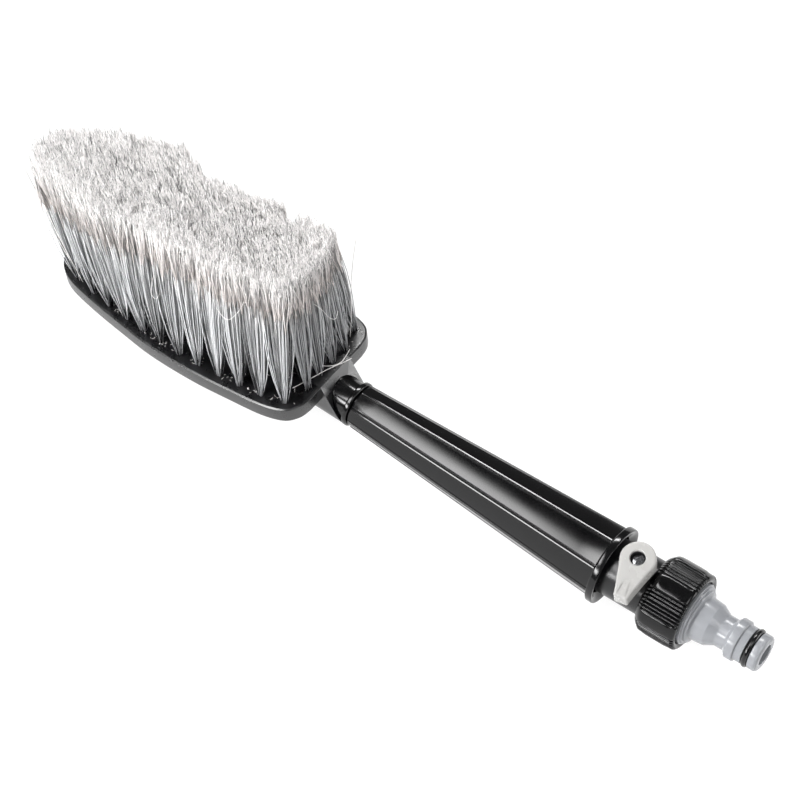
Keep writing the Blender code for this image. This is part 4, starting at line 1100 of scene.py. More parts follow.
        t = np.linspace(0, 1, self.stations)
        longer = 1 + self.nose_flag_share * faded(-x / length, self.nose_flag_fade)
        flag_share = (self.flag_length * longer + rng.normal(0, self.flag_length_spread, shape)) / self.height
        run = t * (1 - flag_share[..., None])
        middle = np.stack(np.broadcast_arrays(tip_x, tip_y, end_z), -1)
        foot = np.stack(np.broadcast_arrays(x, y, root[..., 2]), -1)
        fan = run[..., None] ** self.fan_power
        stems = foot[:, :, None] + (middle - foot)[:, :, None] * run[..., None]
        stems += (root - foot)[:, :, None] * (1 - fan) + (end - middle)[:, :, None] * fan
        bow = rng.normal(0, self.bow, (*shape, 3)) * (1, 1, 0)
        stems += bow[:, :, None] * np.sin(np.pi * run)[..., None]
        bundle_tone = rng.uniform(0, 1, (count, self.bundles)) ** 2
        bundle = np.floor((angle / TURN + 0.5) * self.bundles).astype(int) % self.bundles
        # Painted shade: a share of fibres is darkened for the shade in the gaps between them, on top of a random tone
        # of each fibre and bundle
        shaded = rng.uniform(0, 1, shape) < self.shaded_share
        by_shade, by_fibre, by_bundle = self.tones
        tone = by_shade * shaded + by_fibre * rng.uniform(0, 1, shape)
        tone += by_bundle * np.take_along_axis(bundle_tone, bundle, axis=1)
        # Painted shade: darker deep in the bed, clearing towards the tip
        dark = np.clip(tone + self.root_shade * root_inner, 0, 1)[..., None] * (1 - self.tip_clearing * t)
        radii = np.full(stems.shape[:3], self.fibre_radius)
        self.add_piece(shop, "stems", number, stems, radii, run, dark, shop.palette.stem)

        top, u = stems[:, :, -1], np.array(self.flag_stations)
        flag_shape = (*shape, self.flags)
        final = end[:, :, None] + rng.normal(0, 1, (*flag_shape, 3)) * self.flag_scatter
        flags = top[:, :, None, None] + (final - top[:, :, None])[:, :, :, None] * u[:, None]
        flags[:, :, :, 1] += rng.normal(0, self.kink, (*flag_shape, 3)) * (1, 1, 0)
        # Painted shade on the flags: a share of them dark for the shade between crowded tips, less at the lit outer
        # edge, and darker below their ends inside the bed
        flag_shaded = rng.uniform(0, 1, flag_shape) < self.flag_shaded_share
        flag_tone = np.where(flag_shaded, self.flag_tones[0], self.flag_tones[1] * rng.uniform(0, 1, flag_shape))
        flag_tone *= self.lit_edge_flag_share + (1 - self.lit_edge_flag_share) * end_inner[..., None]
        dark = np.clip(flag_tone[..., None] + end_inner[:, :, None, None] * self.flag_shade, 0, 1)
        radii, steps = (np.broadcast_to(values, flags.shape[:4]) for values in (self.flag_radii, u))
        self.add_piece(shop, "tips", number, flags, radii, steps, dark, shop.palette.tip)

    def add_piece(
        self,
        shop: Workshop,
        part: str,
        number: int,
        paths: np.ndarray,
        radii: np.ndarray,
        along: np.ndarray,
        dark: np.ndarray,
        finish: bpy.types.Material,
    ) -> None:
        """One mesh of strands, with the share along each strand and its darkness as attributes.

        Args:
            shop: The workshop that puts the pieces in the scene.
            part: stems or tips.
            number: The row's number.
            paths: The points that the strands follow, (..., stations, 3).
            radii: Their radius at each station.
            along: The share of the fibre's length at each.
            dark: How dark the fibre is at each: its random tone together with painted shade where it stands deep among
                crowded fibres.
            finish: The material.
        """
        stations = paths.shape[-2]
        shell = Shell()
        shell.add_strands(paths.reshape(-1, stations, 3), radii.reshape(-1, stations), self.sides)
        mesh = shell.mesh(shop.layout.head(), sharp=math.pi)
        paint(mesh, along=np.repeat(along.ravel(), self.sides), dark=np.repeat(dark.ravel(), self.sides))
        shop.piece(f"bristle_{part}_{number}", mesh, finish, (f"bristle_row_{number}",))


@dataclass
class LooseHairs:
    """Fibres that have come astray: a few long ones round the bed, and lint on the head's face."""

    bristles: Bristles
    hair_radius: float = 0.00016
    hair_sides: int = 5
    hair_helper: Point = (0.31, 0.22, 0.93)
    curl_share: float = 0.65
    curl_start_mm: float = 10
    lint_radius: float = 0.0001
    lint_count: int = 480
    lint_length: Pair = (0.0004, 0.0016)
    lint_span: Pair = (0.004, 0.134)
    lint_height: float = 0.0004
    lint_margin: float = 0.0012
    lint_sag: Point = (0.0003, 0.0003, 0.00009)
    lint_rise: Pair = (-0.1, 0.25)
    lint_scatter: float = 0.0021
    steps: int = 6
    pale: float = 0.8
    seed: int = 23
    strays_mm: tuple[tuple[Point, ...], ...] = (
        ((-124.5, -17.0, 1.0), (-127.4, -19.0, 17.5), (-131.5, -19.6, 31.0), (-135.7, -19.0, 43.6)),
        ((-122.0, -18.2, 1.0), (-123.0, -21.0, 19.4), (-126.6, -21.3, 33.0), (-130.0, -21.0, 45.4)),
        ((-6.0, 18.1, 1.0), (-4.4, 19.0, 14.0), (-4.0, 20.7, 28.2), (-4.2, 24.0, 40.0), (-4.0, 27.9, 51.8)),
        ((-8.2, -17.0, 2.0), (-5.8, -13.2, 3.0), (-3.6, -9.5, 4.0), (-1.5, -4.8, 4.5), (0.5, -0.3, 4.5),
         (2.3, 4.2, 4.0), (2.9, 7.9, 3.0)),
        ((-7.0, -2.7, 4.0), (-3.6, -3.0, 5.0), (0.6, -1.4, 6.0), (2.4, 1.8, 6.0), (1.5, 5.9, 5.0), (-0.1, 10.6, 4.0)),
        ((-29.5, -29.4, 48.7), (-26.3, -30.0, 46.5), (-22.7, -30.2, 46.9), (-17.3, -29.6, 54.1), (-14.2, -28.6, 60.5)),
        ((0.2, -5.4, 46.2), (1.2, -2.6, 40.7), (1.8, 0.1, 34.1), (1.8, 3.4, 30.5), (1.0, 6.2, 31.9)),
        ((-64.0, -28.6, 46.0), (-65.0, -29.6, 40.0), (-65.5, -29.8, 36.0), (-63.5, -29.8, 34.9), (-61.5, -29.0, 38.5)),
    )

    def flowing(self, points: np.ndarray) -> np.ndarray:
        """A smooth curve through points, worked out span by span from four neighbours.

        Args:
            points: The points, (n, 3).

        Returns:
            The curve. Each span is the cubic through its two ends, whose slope at each end is half the way
            from the point before that end to the point after it.
        """
        ends = np.concatenate((2 * points[:1] - points[1:2], points, 2 * points[-1:] - points[-2:-1]))
        p0, p1, p2, p3 = neighbours(ends)
        t = (np.arange(self.steps) / self.steps)[None, :, None]
        square, cube = 2 * p0 - 5 * p1 + 4 * p2 - p3, 3 * p1 - p0 - 3 * p2 + p3
        spans = 0.5 * (2 * p1 + (p2 - p0) * t + square * t**2 + cube * t**3)
        return np.concatenate((spans.reshape(-1, 3), points[-1:]))

    def build(self, shop: Workshop) -> None:
        """Makes the stray fibres, of which the curls that start high up are thinner, and the lint.

        Args:
            shop: The workshop that puts the pieces in the scene.
        """
        strays = Shell()
        for stray in self.strays_mm:
            path = self.flowing(in_metres(stray))
            spoke = spokes(unit(np.gradient(path, axis=0)), self.hair_helper, self.hair_sides)
            radius = self.hair_radius * (self.curl_share if stray[0][2] > self.curl_start_mm else 1)
            strays.add_rings(path[:, None] + radius * spoke, Cap.FAN)
        self.dress(shop, "stray_fibres", strays)

        rng, count = np.random.default_rng(self.seed), self.lint_count
        low, high = self.lint_span
        x = -rng.uniform(low, high, count)
        half = self.bristles.slice_half_width(x)
        share = rng.choice(np.array(self.bristles.row_shares), count) * rng.choice((-1, 1), count)
        middle = np.stack((x, share * half, np.full(count, self.lint_height)), -1)
        middle[:, :2] += rng.normal(0, self.lint_scatter, (count, 2))
        middle = middle[np.abs(middle[:, 1]) < half - self.lint_margin]
        count = len(middle)
        turn = rng.uniform(0, TURN, count)
        length = rng.uniform(*self.lint_length, count)
        way = np.stack((np.cos(turn), np.sin(turn), rng.uniform(*self.lint_rise, count)), -1) * length[:, None] / 2
        sag = rng.normal(0, 1, (count, 3)) * self.lint_sag
        lint = Shell()
        lint.add_strands(np.stack((middle - way, middle + sag, middle + way), 1), np.full((count, 3), self.lint_radius))
        self.dress(shop, "head_lint", lint)

    def dress(self, shop: Workshop, name: str, shell: Shell) -> None:
        """Makes the piece, evenly pale along its fibres.

        Args:
            shop: The workshop that puts the pieces in the scene.
            name: The piece's name.
            shell: Its strands, in the head's frame.
        """
        mesh = shell.mesh(shop.layout.head(), sharp=math.pi)
        paint(mesh, along=self.pale, dark=0.0)
        shop.piece(name, mesh, shop.palette.tip, ())


# The handle

@dataclass
class Handle:
    """The collar with its ring bead, and the tapered grip with panels between double ridges."""

    collar_mm: tuple[Point, ...] = (
        (-12.3, 5.3, 0.2), (-12.3, 8.6, 0.4), (-1.15, 8.6, 0.3), (-1.15, 9.9, 0.7), (1.15, 9.9, 0.7),
        (1.15, 6.75, 0.1), (13.65, 6.75, 0.3), (13.65, 5.3, 0.2),
    )
    front: float = 0.00145
    front_radius: float = 0.0092
    rear_radius: float = 0.01547
    lip: float = 0.0009
    lip_steps: tuple[Point, ...] = (
        (0, 0.0009, 0.0), (0.0001, 0.0005, 0.0), (0.0003, 0.0002, 0.35), (0.0006, 0.00005, 0.8),
    )
    panels: int = 8
    panel_drop_share: float = 0.036
    ridge_gap: float = 0.00132
    ridge_half_width: float = 0.0003
    crest_share: float = 0.72
    ridge_points: tuple[float, ...] = (0.612, 0.72, 0.88, 1)
    ridge_height: float = 0.00024
    groove_depth: float = 0.0003
    flange_centre: float = 0.1254
    flange_thickness: float = 0.003
    flange_radius: float = 0.0169
    flange_edge: float = 0.00045
    flange_recess: float = 0.0009
    flange_fillet: float = 0.0008
    fillet_fade: float = 0.7
    cavity_radius: float = 0.013
    cavity_front: float = 0.11
    cavity_flare: float = 0.0011
    socket_rear: float = 0.01395
    socket_radius: float = 0.00705
    wall: float = 0.0022
    along_steps: int = 14
    fillet_steps: int = 7
    rim_steps: int = 4
    panel_steps: int = 12
    sharp: float = math.radians(40)

    def cone(self, along: np.ndarray | float) -> np.ndarray | float:
        """The grip's radius before its panels, a straight taper."""
        return self.front_radius + (self.rear_radius - self.front_radius) * along / self.flange_centre

    def build(self, shop: Workshop) -> None:
        """Makes the collar and the grip.

        Args:
            shop: The workshop that puts the pieces in the scene.
        """
        axes, finish = shop.layout.grip(), shop.palette.grip
        profile = rounded(in_metres(self.collar_mm), steps=6, closed=True)
        mesh = surface(turned(profile, WIDE_SIDES), Cap.LOOP, axes)
        shop.piece("front_collar_turned", mesh, finish, ("front_collar",))
        mesh = surface(self.grip_rings(), Cap.LOOP, axes, self.sharp)
        shop.piece("grip_moulded", mesh, finish, ("grip",))

    def grip_rings(self) -> np.ndarray:
        """The grip's surface.

        Returns:
            Rings (rows, points, 3). A point's radius is the taper's, less the panel's hollow, which
            is a parabola across each panel, plus the ridges, two flat crests with soft flanks and a
            groove between them.
        """
        along, radius, detail = (column[:, None] for column in self.stations().T)
        foot = (self.ridge_gap / 2 + self.ridge_half_width) / radius
        flank = np.array(self.ridge_points)
        bump = np.concatenate((-flank[::-1], flank)) * self.ridge_half_width
        near = np.concatenate((bump - self.ridge_gap / 2, [0.0], bump + self.ridge_gap / 2))
        share = np.linspace(0, 1, self.panel_steps + 1)[1:-1]
        pitch = TURN / self.panels
        across = np.abs(np.abs(near) - self.ridge_gap / 2) / self.ridge_half_width
        ridge = self.ridge_height * smooth_step((1 - across) / (1 - self.crest_share))
        raised = radius + detail * (ridge - self.groove_depth * (near == 0))
        hollow = radius * (1 - self.panel_drop_share * 4 * share * (1 - share) * detail)
        one = np.concatenate((near / radius, foot + share * (pitch - 2 * foot)), axis=1)
        angle = (one[:, None] + np.arange(self.panels)[:, None] * pitch).reshape(len(one), -1)
        return polar(along, np.tile(np.concatenate((raised, hollow), axis=1), self.panels), angle)

    def stations(self) -> np.ndarray:
        """The stations along the grip.

        Returns:
            Rows (along, radius, how much panel and ridge it shows), back along the outside, round the
            flange, and forward again along the inside.
        """
        front, radius, edge = self.front, self.flange_radius, self.flange_edge
        flange_front = self.flange_centre - self.flange_thickness / 2
        rear = self.flange_centre + self.flange_thickness / 2
        fillet_start = flange_front - self.flange_fillet
        lip = np.array([(front + place, self.cone(front) - drop, detail) for place, drop, detail in self.lip_steps])
        along = np.linspace(front + self.lip, fillet_start, self.along_steps)
        taper = np.column_stack((along, self.cone(along), np.ones(len(along))))
        turn = np.linspace(0, QUARTER, self.fillet_steps + 1)[1:]
        lift = (radius - edge - self.cone(fillet_start)) * (1 - np.cos(turn))
        along = fillet_start + self.flange_fillet * np.sin(turn)
        fillet = np.column_stack((along, self.cone(fillet_start) + lift, np.cos(turn) ** self.fillet_fade))
        t = np.linspace(0, QUARTER, self.rim_steps + 1)
        rise, fall = edge * (np.sin(t) - 1), edge * (np.cos(t) - 1)
        rims = at_height(np.column_stack((flange_front - fall, radius + rise))[1:], 0)
        rims = np.concatenate((rims, at_height(np.column_stack((rear + rise, radius + fall)), 0)))
        mouth = rear - self.flange_recess
        inside = [
            (rear, radius - 2 * edge, 0),
            (mouth, self.cavity_radius + self.cavity_flare, 0),
            (mouth - self.cavity_flare, self.cavity_radius, 0),
            (self.cavity_front, self.cavity_radius, 0),
            (self.cavity_front, self.cone(self.cavity_front) * (1 - self.panel_drop_share) - self.wall, 0),
            (self.socket_rear, self.socket_radius, 0),
            (front, self.socket_radius, 0),
        ]
        return np.concatenate((lip, taper, fillet, rims, inside))


# The valve

@dataclass
class Valve:
    """The valve's body behind the grip, and the lever with its screw."""

    body_mm: tuple[Point, ...] = (
        (-5.5, 4.5, 0), (-5.5, 11.9, 0.5), (21.85, 11.9, 0.5), (21.85, 11.0, 0.2), (24.45, 11.0, 0.2),
        (24.45, 11.9, 0.2), (29.05, 11.9, 0.5), (29.05, 8.6, 0.2), (5.55, 8.6, 0), (5.55, 4.5, 0),
    )
    spigot_mm: tuple[Pair, ...] = ((-20.45, 5.3), (-20.45, 8.2), (0, 8.2), (0, 5.3))
    bonnet_mm: tuple[Pair, ...] = ((9.5, 4.2), (9.5, 5.4), (16.3, 5.4), (16.6, 5.1), (16.6, 4.2))
    lever_bottom: float = 0.017
    lever_length: float = 0.0175
    lever_top: float = 0.0236
    boss_radius: float = 0.0071
    end_half: float = 0.00295
    end_round: float = 0.0009
    leave: float = math.radians(70)
    waist_power: float = 1.12
    outline_steps: tuple[int, int, int] = (32, 16, 8)
    mouth_steps: int = 5
    wall_mm: tuple[Point, ...] = ((1.2, 17, 0), (0, 17, 0.5), (0, 23.5, 0.9), (1.4, 23.6, 0))
    well_mm: tuple[Pair, ...] = ((3.4, 23.6), (3.12, 23.4), (3.0, 23.1), (3.0, 20.2), (1.2, 20.2), (1.2, 19.3))
    socket_half: float = 0.0021
    # Painted shade: a black sleeve in the screw's well stands for the shadow deep in it
    shade_liner_mm: tuple[Pair, ...] = ((20.22, 2.72), (20.22, 2.98), (22.8, 2.98), (22.8, 2.72))
    screw_mm: tuple[Point, ...] = ((14.7, 0.8, 0), (20.5, 0.9, 0), (20.5, 2.6, 0.1), (21.4, 2.6, 0.4), (21.7, 0.6, 0))
    cross_mm: Pair = (1.8, 0.4)
    cross_heights: Pair = (0.021, 0.0224)

    def build(self, shop: Workshop) -> None:
        """Makes the body, the lever and the screw.

        Args:
            shop: The workshop that puts the pieces in the scene.
        """
        tail, spindle, grip = shop.layout.tail(), shop.layout.spindle(), shop.layout.grip()
        body = surface(turned(rounded(in_metres(self.body_mm), closed=True), WIDE_SIDES), Cap.LOOP, tail)
        bend = (tail.origin[0] - grip.origin[0], 0)
        spigot = surface(turned(in_metres(self.spigot_mm) + bend, MIDDLE_SIDES), Cap.LOOP, grip)
        bonnet = surface(turned(in_metres(self.bonnet_mm), MIDDLE_SIDES)[..., UPRIGHT], Cap.LOOP, spindle)
        mesh = shop.combined(body, [spigot, bonnet], "UNION")
        shop.piece("valve_body_moulded", mesh, shop.palette.valve, ("valve_body",))

        mesh = surface(self.lever_rings(), Cap.LOOP, spindle)
        shop.piece("lever_moulded", mesh, shop.palette.grey, ("lever",), Body.LEVER)
        # Painted shade: the black sleeve darkens the well as its shadow would
        mesh = surface(turned(in_metres(self.shade_liner_mm), SLIM_SIDES)[..., UPRIGHT], Cap.LOOP, spindle)
        shop.piece("lever_well_shade_liner", mesh, shop.palette.valve, (), Body.LEVER)

        screw = surface(turned(rounded(in_metres(self.screw_mm)), SLIM_SIDES)[..., UPRIGHT], Cap.FAN, spindle)
        oblong = in_metres(self.cross_mm) * [(-1, -1), (1, -1), (1, 1), (-1, 1)]
        bars = [
            surface(np.array([at_height(bar, z) for z in self.cross_heights]), Cap.FAN, spindle)
            for bar in (oblong, oblong[:, ::-1] * (-1, 1))
        ]
        mesh = shop.combined(screw, bars, "DIFFERENCE")
        shop.piece("lever_screw_turned", mesh, shop.palette.steel, ("lever_screw",), Body.LEVER)

    def outline(self) -> np.ndarray:
        """The lever's teardrop outline: boss arc, waisted arm and rounded end, and their mirror image.

        Returns:
            Points (x, y). The arm's half width falls from the boss's to the end's as (1 - share) to
            the power waist_power.
        """
        boss_steps, arm_steps, end_steps = self.outline_steps
        angle = np.linspace(np.pi, self.leave, boss_steps + 1)
        boss = self.boss_radius * np.column_stack((np.cos(angle), np.sin(angle)))
        corner_x = self.lever_length - self.end_round
        share = np.linspace(0, 1, arm_steps + 1)[1:]
        spare = (boss[-1, 1] - self.end_half) * (1 - share) ** self.waist_power
        arm = np.column_stack((boss[-1, 0] + (corner_x - boss[-1, 0]) * share, self.end_half + spare))
        turn = np.linspace(QUARTER, 0, end_steps + 1)[1:]
        corner = np.column_stack((np.cos(turn), np.sin(turn) - 1)) * self.end_round + (corner_x, self.end_half)
        side = np.concatenate((boss, arm, corner))
        return np.concatenate((side, side[:0:-1] * (1, -1)))

    def lever_rings(self) -> np.ndarray:
        """The lever: its outline swept over rounded edges, round to the screw's well and its floor.

        Returns:
            Rings (rows, points, 3) in the spindle's frame.
        """
        ring, top = self.outline(), self.lever_top
        rings = [at_height(inset(ring, d), z) for d, z in rounded(in_metres(self.wall_mm), steps=6)]
        angle = np.arctan2(ring[:, 1], ring[:, 0])
        circle = np.column_stack((np.cos(angle), np.sin(angle)))
        well = in_metres(self.well_mm)
        last, mouth = rings[-1][:, :2], circle * well[0, 0]
        shares = np.linspace(0, 1, self.mouth_steps + 1)[1:-1]
        rings += [at_height(last * (1 - share) + mouth * share, top) for share in shares]
        rings += [at_height(circle * radius, height) for radius, height in well]
        square = circle * (self.socket_half / np.abs(circle).max(axis=1))[:, None]
        return np.array([*rings, at_height(square, well[-1, 1]), at_height(square, self.lever_bottom)])


# The hose end

@dataclass
class HoseEnd:
    """The swivel nut with ribs between smooth pads, and the hose nipple screwed into it."""

    nut_radius: float = 0.0165
    nut_front: float = 0.02215
    nut_rear: float = 0.04055
    nut_ends: Pair = (0.0038, 0.0016)
    chamfer_steps: tuple[Point, ...] = (
        (0, 0.0021, 0.0), (0.0003, 0.0017, 0.0), (0.00132, 0.00084, 0.35), (0.0022, 0.0001, 0.9), (0.003, 0, 1.0),
    )
    rear_round: float = 0.0014
    inside_mm: tuple[Point, ...] = (
        (40.55, 14.2, 0), (39.85, 13.5, 0), (24.15, 13.5, 0), (24.15, 11.3, 0), (22.15, 11.3, 0),
    )
    pads: int = 6
    pad_place: float = math.radians(15)
    pad_angle: float = math.radians(27)
    pad_height: float = 0.00036
    pad_margin: float = 0.0018
    pad_soft: float = 0.28
    ribs: int = 6
    rib_depth: float = 0.0007
    crest_phase: float = 0.3
    crest_dip: float = 0.05
    nipple_mm: tuple[Point, ...] = (
        (32.15, 4.4, 0), (32.15, 13.2, 0.3), (41.3, 13.2, 0.3), (41.3, 12.4, 0.1), (42.2, 12.4, 0.25),
        (42.2, 11.3, 0.1), (43.1, 11.3, 0.25), (43.5, 9.4, 0.3), (44.4, 9.4, 0), (49.1, 8.9, 1.0),
        (53.0, 6.75, 2.0), (56.9, 6.75, 0.4), (58.2, 8.15, 0.1), (58.4, 8.65, 0.3), (62.0, 8.65, 0.5),
        (62.0, 7.7, 0.2), (65.3, 7.7, 0.2), (65.3, 5.6, 0.1), (68.3, 5.6, 0.1), (68.3, 7.7, 0.2),
        (72.1, 7.7, 1.4), (72.1, 4.4, 0.5),
    )
    seal_centre: Pair = (0.0668, 0.0071)
    seal_section: float = 0.0012
    seal_steps: int = 24
    straight_steps: int = 15
    corner_steps: int = 7
    rib_steps: int = 10
    pad_steps: int = 13
    sharp: float = math.radians(50)

    def build(self, shop: Workshop) -> None:
        """Makes the nut, the nipple, turned from its thread to its nose and back along its bore, and its seal.

        Args:
            shop: The workshop that puts the pieces in the scene.
        """
        tail, body = shop.layout.tail(), Body.SWIVEL
        mesh = surface(self.nut_rings(), Cap.LOOP, tail, self.sharp)
        shop.piece("union_nut_moulded", mesh, shop.palette.nut, ("union_nut",), body)
        profile = rounded(in_metres(self.nipple_mm), steps=5, closed=True)
        mesh = surface(turned(profile, WIDE_SIDES), Cap.LOOP, tail)
        shop.piece("hose_nipple_moulded", mesh, shop.palette.nipple, ("hose_nipple",), body)
        turn = np.arange(self.seal_steps) * TURN / self.seal_steps
        loop = self.seal_section * np.column_stack((np.sin(turn), np.cos(turn))) + self.seal_centre
        mesh = surface(turned(loop, WIDE_SIDES), Cap.LOOP, tail)
        shop.piece("nipple_o_ring_moulded", mesh, shop.palette.rubber, ("nipple_o_ring",), body)

    def stations(self) -> np.ndarray:
        """The stations along the nut.

        Returns:
            Rows (along, radius, how deep the ribs are), back along the outside and forward along the inside.
        """
        front = [(self.nut_front + place, self.nut_radius - drop, detail) for place, drop, detail in self.chamfer_steps]
        start, end = self.nut_ends
        along = np.linspace(self.nut_front + start, self.nut_rear - end, self.straight_steps + 1)[:, None]
        turn = np.linspace(0, QUARTER, self.corner_steps + 1)
        rise, fall = self.rear_round * (np.sin(turn) - 1), self.rear_round * (np.cos(turn) - 1)
        corner = np.column_stack((self.nut_rear + rise, self.nut_radius + fall, np.sqrt(np.cos(turn))))
        straight = along * (1, 0, 0) + (0, self.nut_radius, 1)
        return np.concatenate((front, straight, corner, in_metres(self.inside_mm)))

    def nut_rings(self) -> np.ndarray:
        """The nut's surface.

        Returns:
            Rings (rows, points, 3). Between two pads the radius drops from each rib's gently rounded
            crest in straight flanks. A pad stands up by a soft step of one less the fourth-power mean
            of its two shares, so its outline is an oblong with round corners.
        """
        along, radius, detail = (column[:, None] for column in self.stations().T)
        pitch = TURN / self.pads
        rib_share = np.linspace(0, 1, self.ribs * self.rib_steps + 1)
        pad_share = np.linspace(0, 1, self.pad_steps + 1)[1:-1]
        phase = np.abs((rib_share * self.ribs) % 1 * 2 - 1)
        crest, dip = self.crest_phase, self.crest_dip
        flank = dip + (1 - dip) * (phase - crest) / (1 - crest)
        dips = np.where(phase < crest, dip * (phase / crest) ** 2, flank)
        ribs_angle = self.pad_angle / 2 + rib_share * (pitch - self.pad_angle)
        one = np.concatenate((ribs_angle, pitch - self.pad_angle / 2 + pad_share * self.pad_angle))
        angle = (self.pad_place + one + np.arange(self.pads)[:, None] * pitch).ravel()
        across = np.concatenate((np.ones(len(dips)), 2 * pad_share - 1))
        middle, half = (self.nut_front + self.nut_rear) / 2, (self.nut_rear - self.nut_front) / 2 - self.pad_margin
        edge = (across**4 + np.minimum(np.abs(along - middle) / half, 1) ** 4) ** 0.25
        raised = self.pad_height * smooth_step((1 - edge) / self.pad_soft) * (detail > 0)
        radii = radius - self.rib_depth * np.append(dips, np.zeros(len(pad_share))) * detail + raised
        return polar(along, np.tile(radii, self.pads), angle)


# The studio

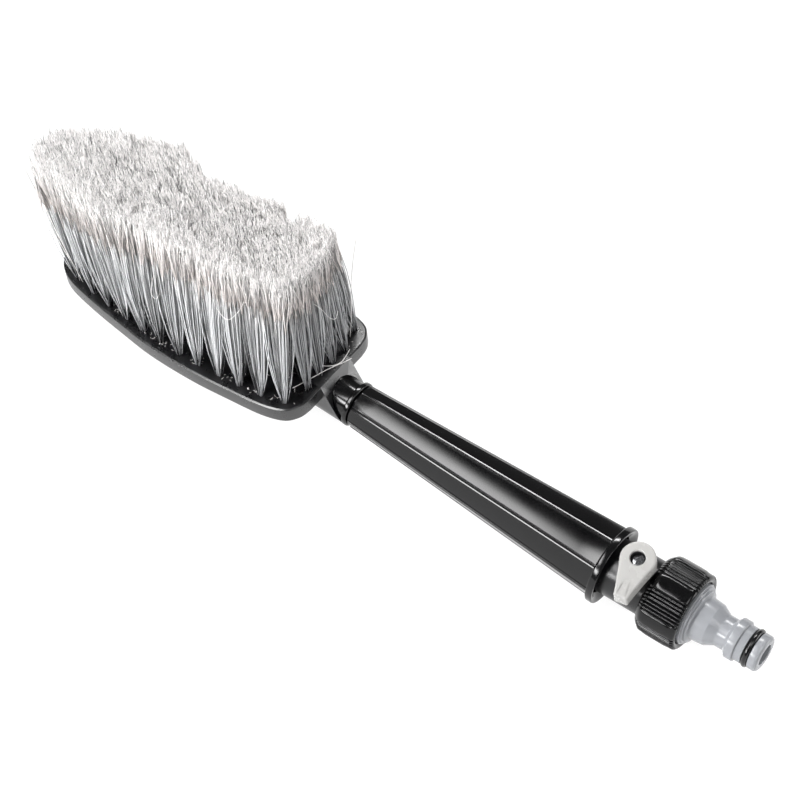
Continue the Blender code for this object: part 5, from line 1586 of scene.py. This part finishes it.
@dataclass
class Studio:
    """The pale floor, the soft lights and the camera of the photograph."""

    camera_place: Point = (0.43267, -0.46258, 0.82397)
    camera_ahead: Point = (-0.3210, 0.4804, -0.8162)
    camera_right: Point = (0.8023, 0.5959, 0.0352)
    lens_mm: float = 108.53
    sensor_mm: float = 36.0
    key_corners: tuple[Pair, ...] = ((-0.78, -1.25), (-0.78, -0.08), (-0.12, -0.08), (-0.12, -1.25))
    key_height: float = 1.2
    key_glow: float = 13.0
    key_skew: float = 0.6
    key_edge: Pair = (-0.42, -0.66)
    key_end: Pair = (-0.14, -0.3)
    floor_size: float = 14.0
    floor_gap: float = 0.0001
    floor_colour: str = "#f4f4f4"
    seen_floor_colour: str = "#808080"
    floor_glow: float = 0.88
    world_glow: float = 0.13
    softboxes: tuple[tuple[str, Point, Point, Pair, float], ...] = (
        ("back_softbox", (-0.36, 0.9, 1.2), (0.1, 0, 0.03), (0.8, 0.18), 14),
        ("near_softbox", (-0.36, -1.08, 0.52), (0.15, 0, 0.03), (0.9, 0.24), 16),
        ("overhead_softbox", (0.85, -0.3, 1.25), (0.1, 0, 0.03), (0.7, 0.7), 6.5),
        ("side_softbox", (1.1, 0.62, 0.17), (0.1, 0, 0.06), (0.7, 0.32), 5.2),
    )

    def build(self) -> None:
        """Sets up the floor, the world, the lights and the camera."""
        self.build_floor()
        self.build_world()
        self.build_key()
        for softbox in self.softboxes:
            self.add_softbox(*softbox)
        self.add_camera()

    def sheet(
        self, name: str, corners: tuple[Pair, ...] | np.ndarray, height: float, finish: bpy.types.Material
    ) -> bpy.types.Object:
        """A level sheet of the studio between four corners.

        Args:
            name: Its name.
            corners: (x, y) of each corner, in order.
            height: Its height.
            finish: Its material.

        Returns:
            The sheet, put on the stage.
        """
        mesh = bpy.data.meshes.new(name)
        mesh.from_pydata([(x, y, height) for x, y in corners], [], [(0, 1, 2, 3)])
        mesh.materials.append(finish)
        made = bpy.data.objects.new(name, mesh)
        bpy.context.scene.collection.objects.link(made)
        return made

    def build_floor(self) -> None:
        """A wide pale sheet just under the brush, which glows a little where the camera sees it."""
        made, tree = new_tree("studio_floor")
        path = add_node(tree, "LightPath").node.outputs
        larger = {"operation": "MAXIMUM"}
        seen = add_node(tree, "Math", larger, {0: path["Is Camera Ray"], 1: path["Is Glossy Ray"]})
        seen = add_node(tree, "Math", larger, {0: seen, 1: path["Is Transmission Ray"]})
        lit = add_node(tree, "BsdfDiffuse", {"Color": hex_colour(self.floor_colour)})
        part = add_node(tree, "BsdfDiffuse", {"Color": hex_colour(self.seen_floor_colour)})
        glow = add_node(tree, "Emission", {"Strength": self.floor_glow})
        white = add_node(tree, "AddShader", {}, {0: part, 1: glow})
        shader = add_node(tree, "MixShader", {}, {0: seen, 1: lit, 2: white})
        add_node(tree, "OutputMaterial", {}, {"Surface": shader})
        corners = np.array([(-1, -1), (1, -1), (1, 1), (-1, 1)]) * self.floor_size / 2
        self.sheet("studio_floor", corners, min(CAD_BOX[0].z, 0.0) - self.floor_gap, made)

    def build_key(self) -> None:
        """The main light: a flat lit sheet above the head's near side, faded out along two edges.

        Its glow is full inside, and falls to nothing along the edge above the grip, where
        y + skew * x passes from one end of key_edge to the other, and at its end towards the hose.
        """
        made, tree = new_tree("key_softbox")
        place = add_node(tree, "TexCoord", out="Object")
        parts = add_node(tree, "SeparateXYZ", {}, {"Vector": place}).node.outputs
        slant = {"operation": "MULTIPLY_ADD", 1: self.key_skew}
        slanted = add_node(tree, "Math", slant, {0: parts["X"], 2: parts["Y"]})
        fades = []
        for value, (start, end) in ((slanted, self.key_edge), (parts["X"], self.key_end)):
            soft = {"interpolation_type": "SMOOTHSTEP", "From Min": start, "From Max": end}
            fades.append(add_node(tree, "MapRange", soft, {"Value": value}))
        glow = add_node(tree, "Math", {"operation": "MULTIPLY"}, {0: fades[0], 1: fades[1]})
        glow = add_node(tree, "Math", {"operation": "MULTIPLY", 1: self.key_glow}, {0: glow})
        light = add_node(tree, "Emission", {}, {"Strength": glow})
        add_node(tree, "OutputMaterial", {}, {"Surface": light})
        self.sheet("key_softbox", self.key_corners, self.key_height, made).visible_camera = False

    def build_world(self) -> None:
        """A dim even world, like a dark studio: the floor fills the view, so the world is never seen."""
        world = bpy.data.worlds.new("studio_world")
        world.use_nodes = True
        tree = world.node_tree
        tree.nodes.clear()
        dim = add_node(tree, "Background", {"Color": (1, 1, 1, 1), "Strength": self.world_glow})
        add_node(tree, "OutputWorld", {}, {"Surface": dim})
        bpy.context.scene.world = world
        bpy.context.scene.view_settings.view_transform = "Standard"

    def add_softbox(self, name: str, place: Point, target: Point, size: Pair, power: float) -> None:
        """An oblong lamp that points at a target.

        Args:
            name: Its name.
            place: Where it hangs.
            target: The point that it faces.
            size: Its length and width.
            power: Its power in watts.
        """
        lamp = bpy.data.lights.new(name, "AREA")
        lamp.shape = "RECTANGLE"
        lamp.size, lamp.size_y = size
        lamp.energy = power
        made = bpy.data.objects.new(name, lamp)
        made.location = place
        made.rotation_euler = (Vector(target) - Vector(place)).to_track_quat("-Z", "Y").to_euler()
        made.visible_camera = False
        bpy.context.scene.collection.objects.link(made)

    def add_camera(self) -> None:
        """The camera, at the place and angle that the photograph was taken from."""
        ahead, right = unit(np.array(self.camera_ahead)), unit(np.array(self.camera_right))
        up = np.cross(right, ahead)
        data = bpy.data.cameras.new("photo_camera")
        data.lens, data.sensor_width = self.lens_mm, self.sensor_mm
        camera = bpy.data.objects.new("photo_camera", data)
        columns = np.column_stack((np.cross(ahead, up), up, -ahead, self.camera_place))
        camera.matrix_world = Matrix([*columns.tolist(), [0, 0, 0, 1]])
        bpy.context.scene.collection.objects.link(camera)
        bpy.context.scene.camera = camera


def main() -> None:
    """Builds the studio, then the sub-assemblies in order."""
    logging.basicConfig(level=logging.INFO, format="%(message)s")
    palette = Palette()
    shop = Workshop(palette, Layout())
    Studio().build()
    head = Head()
    bristles = Bristles(head)
    for sub_assembly in (head, bristles, LooseHairs(bristles), Handle(), Valve(), HoseEnd()):
        sub_assembly.build(shop)
    shop.dress_nodes(palette.rubber, "neck_o_ring", "pipe_o_ring", "spindle_o_ring", "hose_washer")
    shop.dress_nodes(
        palette.inner, "water_pipe", "rear_bush", "seat_front", "seat_rear", "seat_retainer", "spindle_gland"
    )
    shop.dress_nodes(palette.brass, "valve_ball", "spindle")


if __name__ == "__main__":
    main()
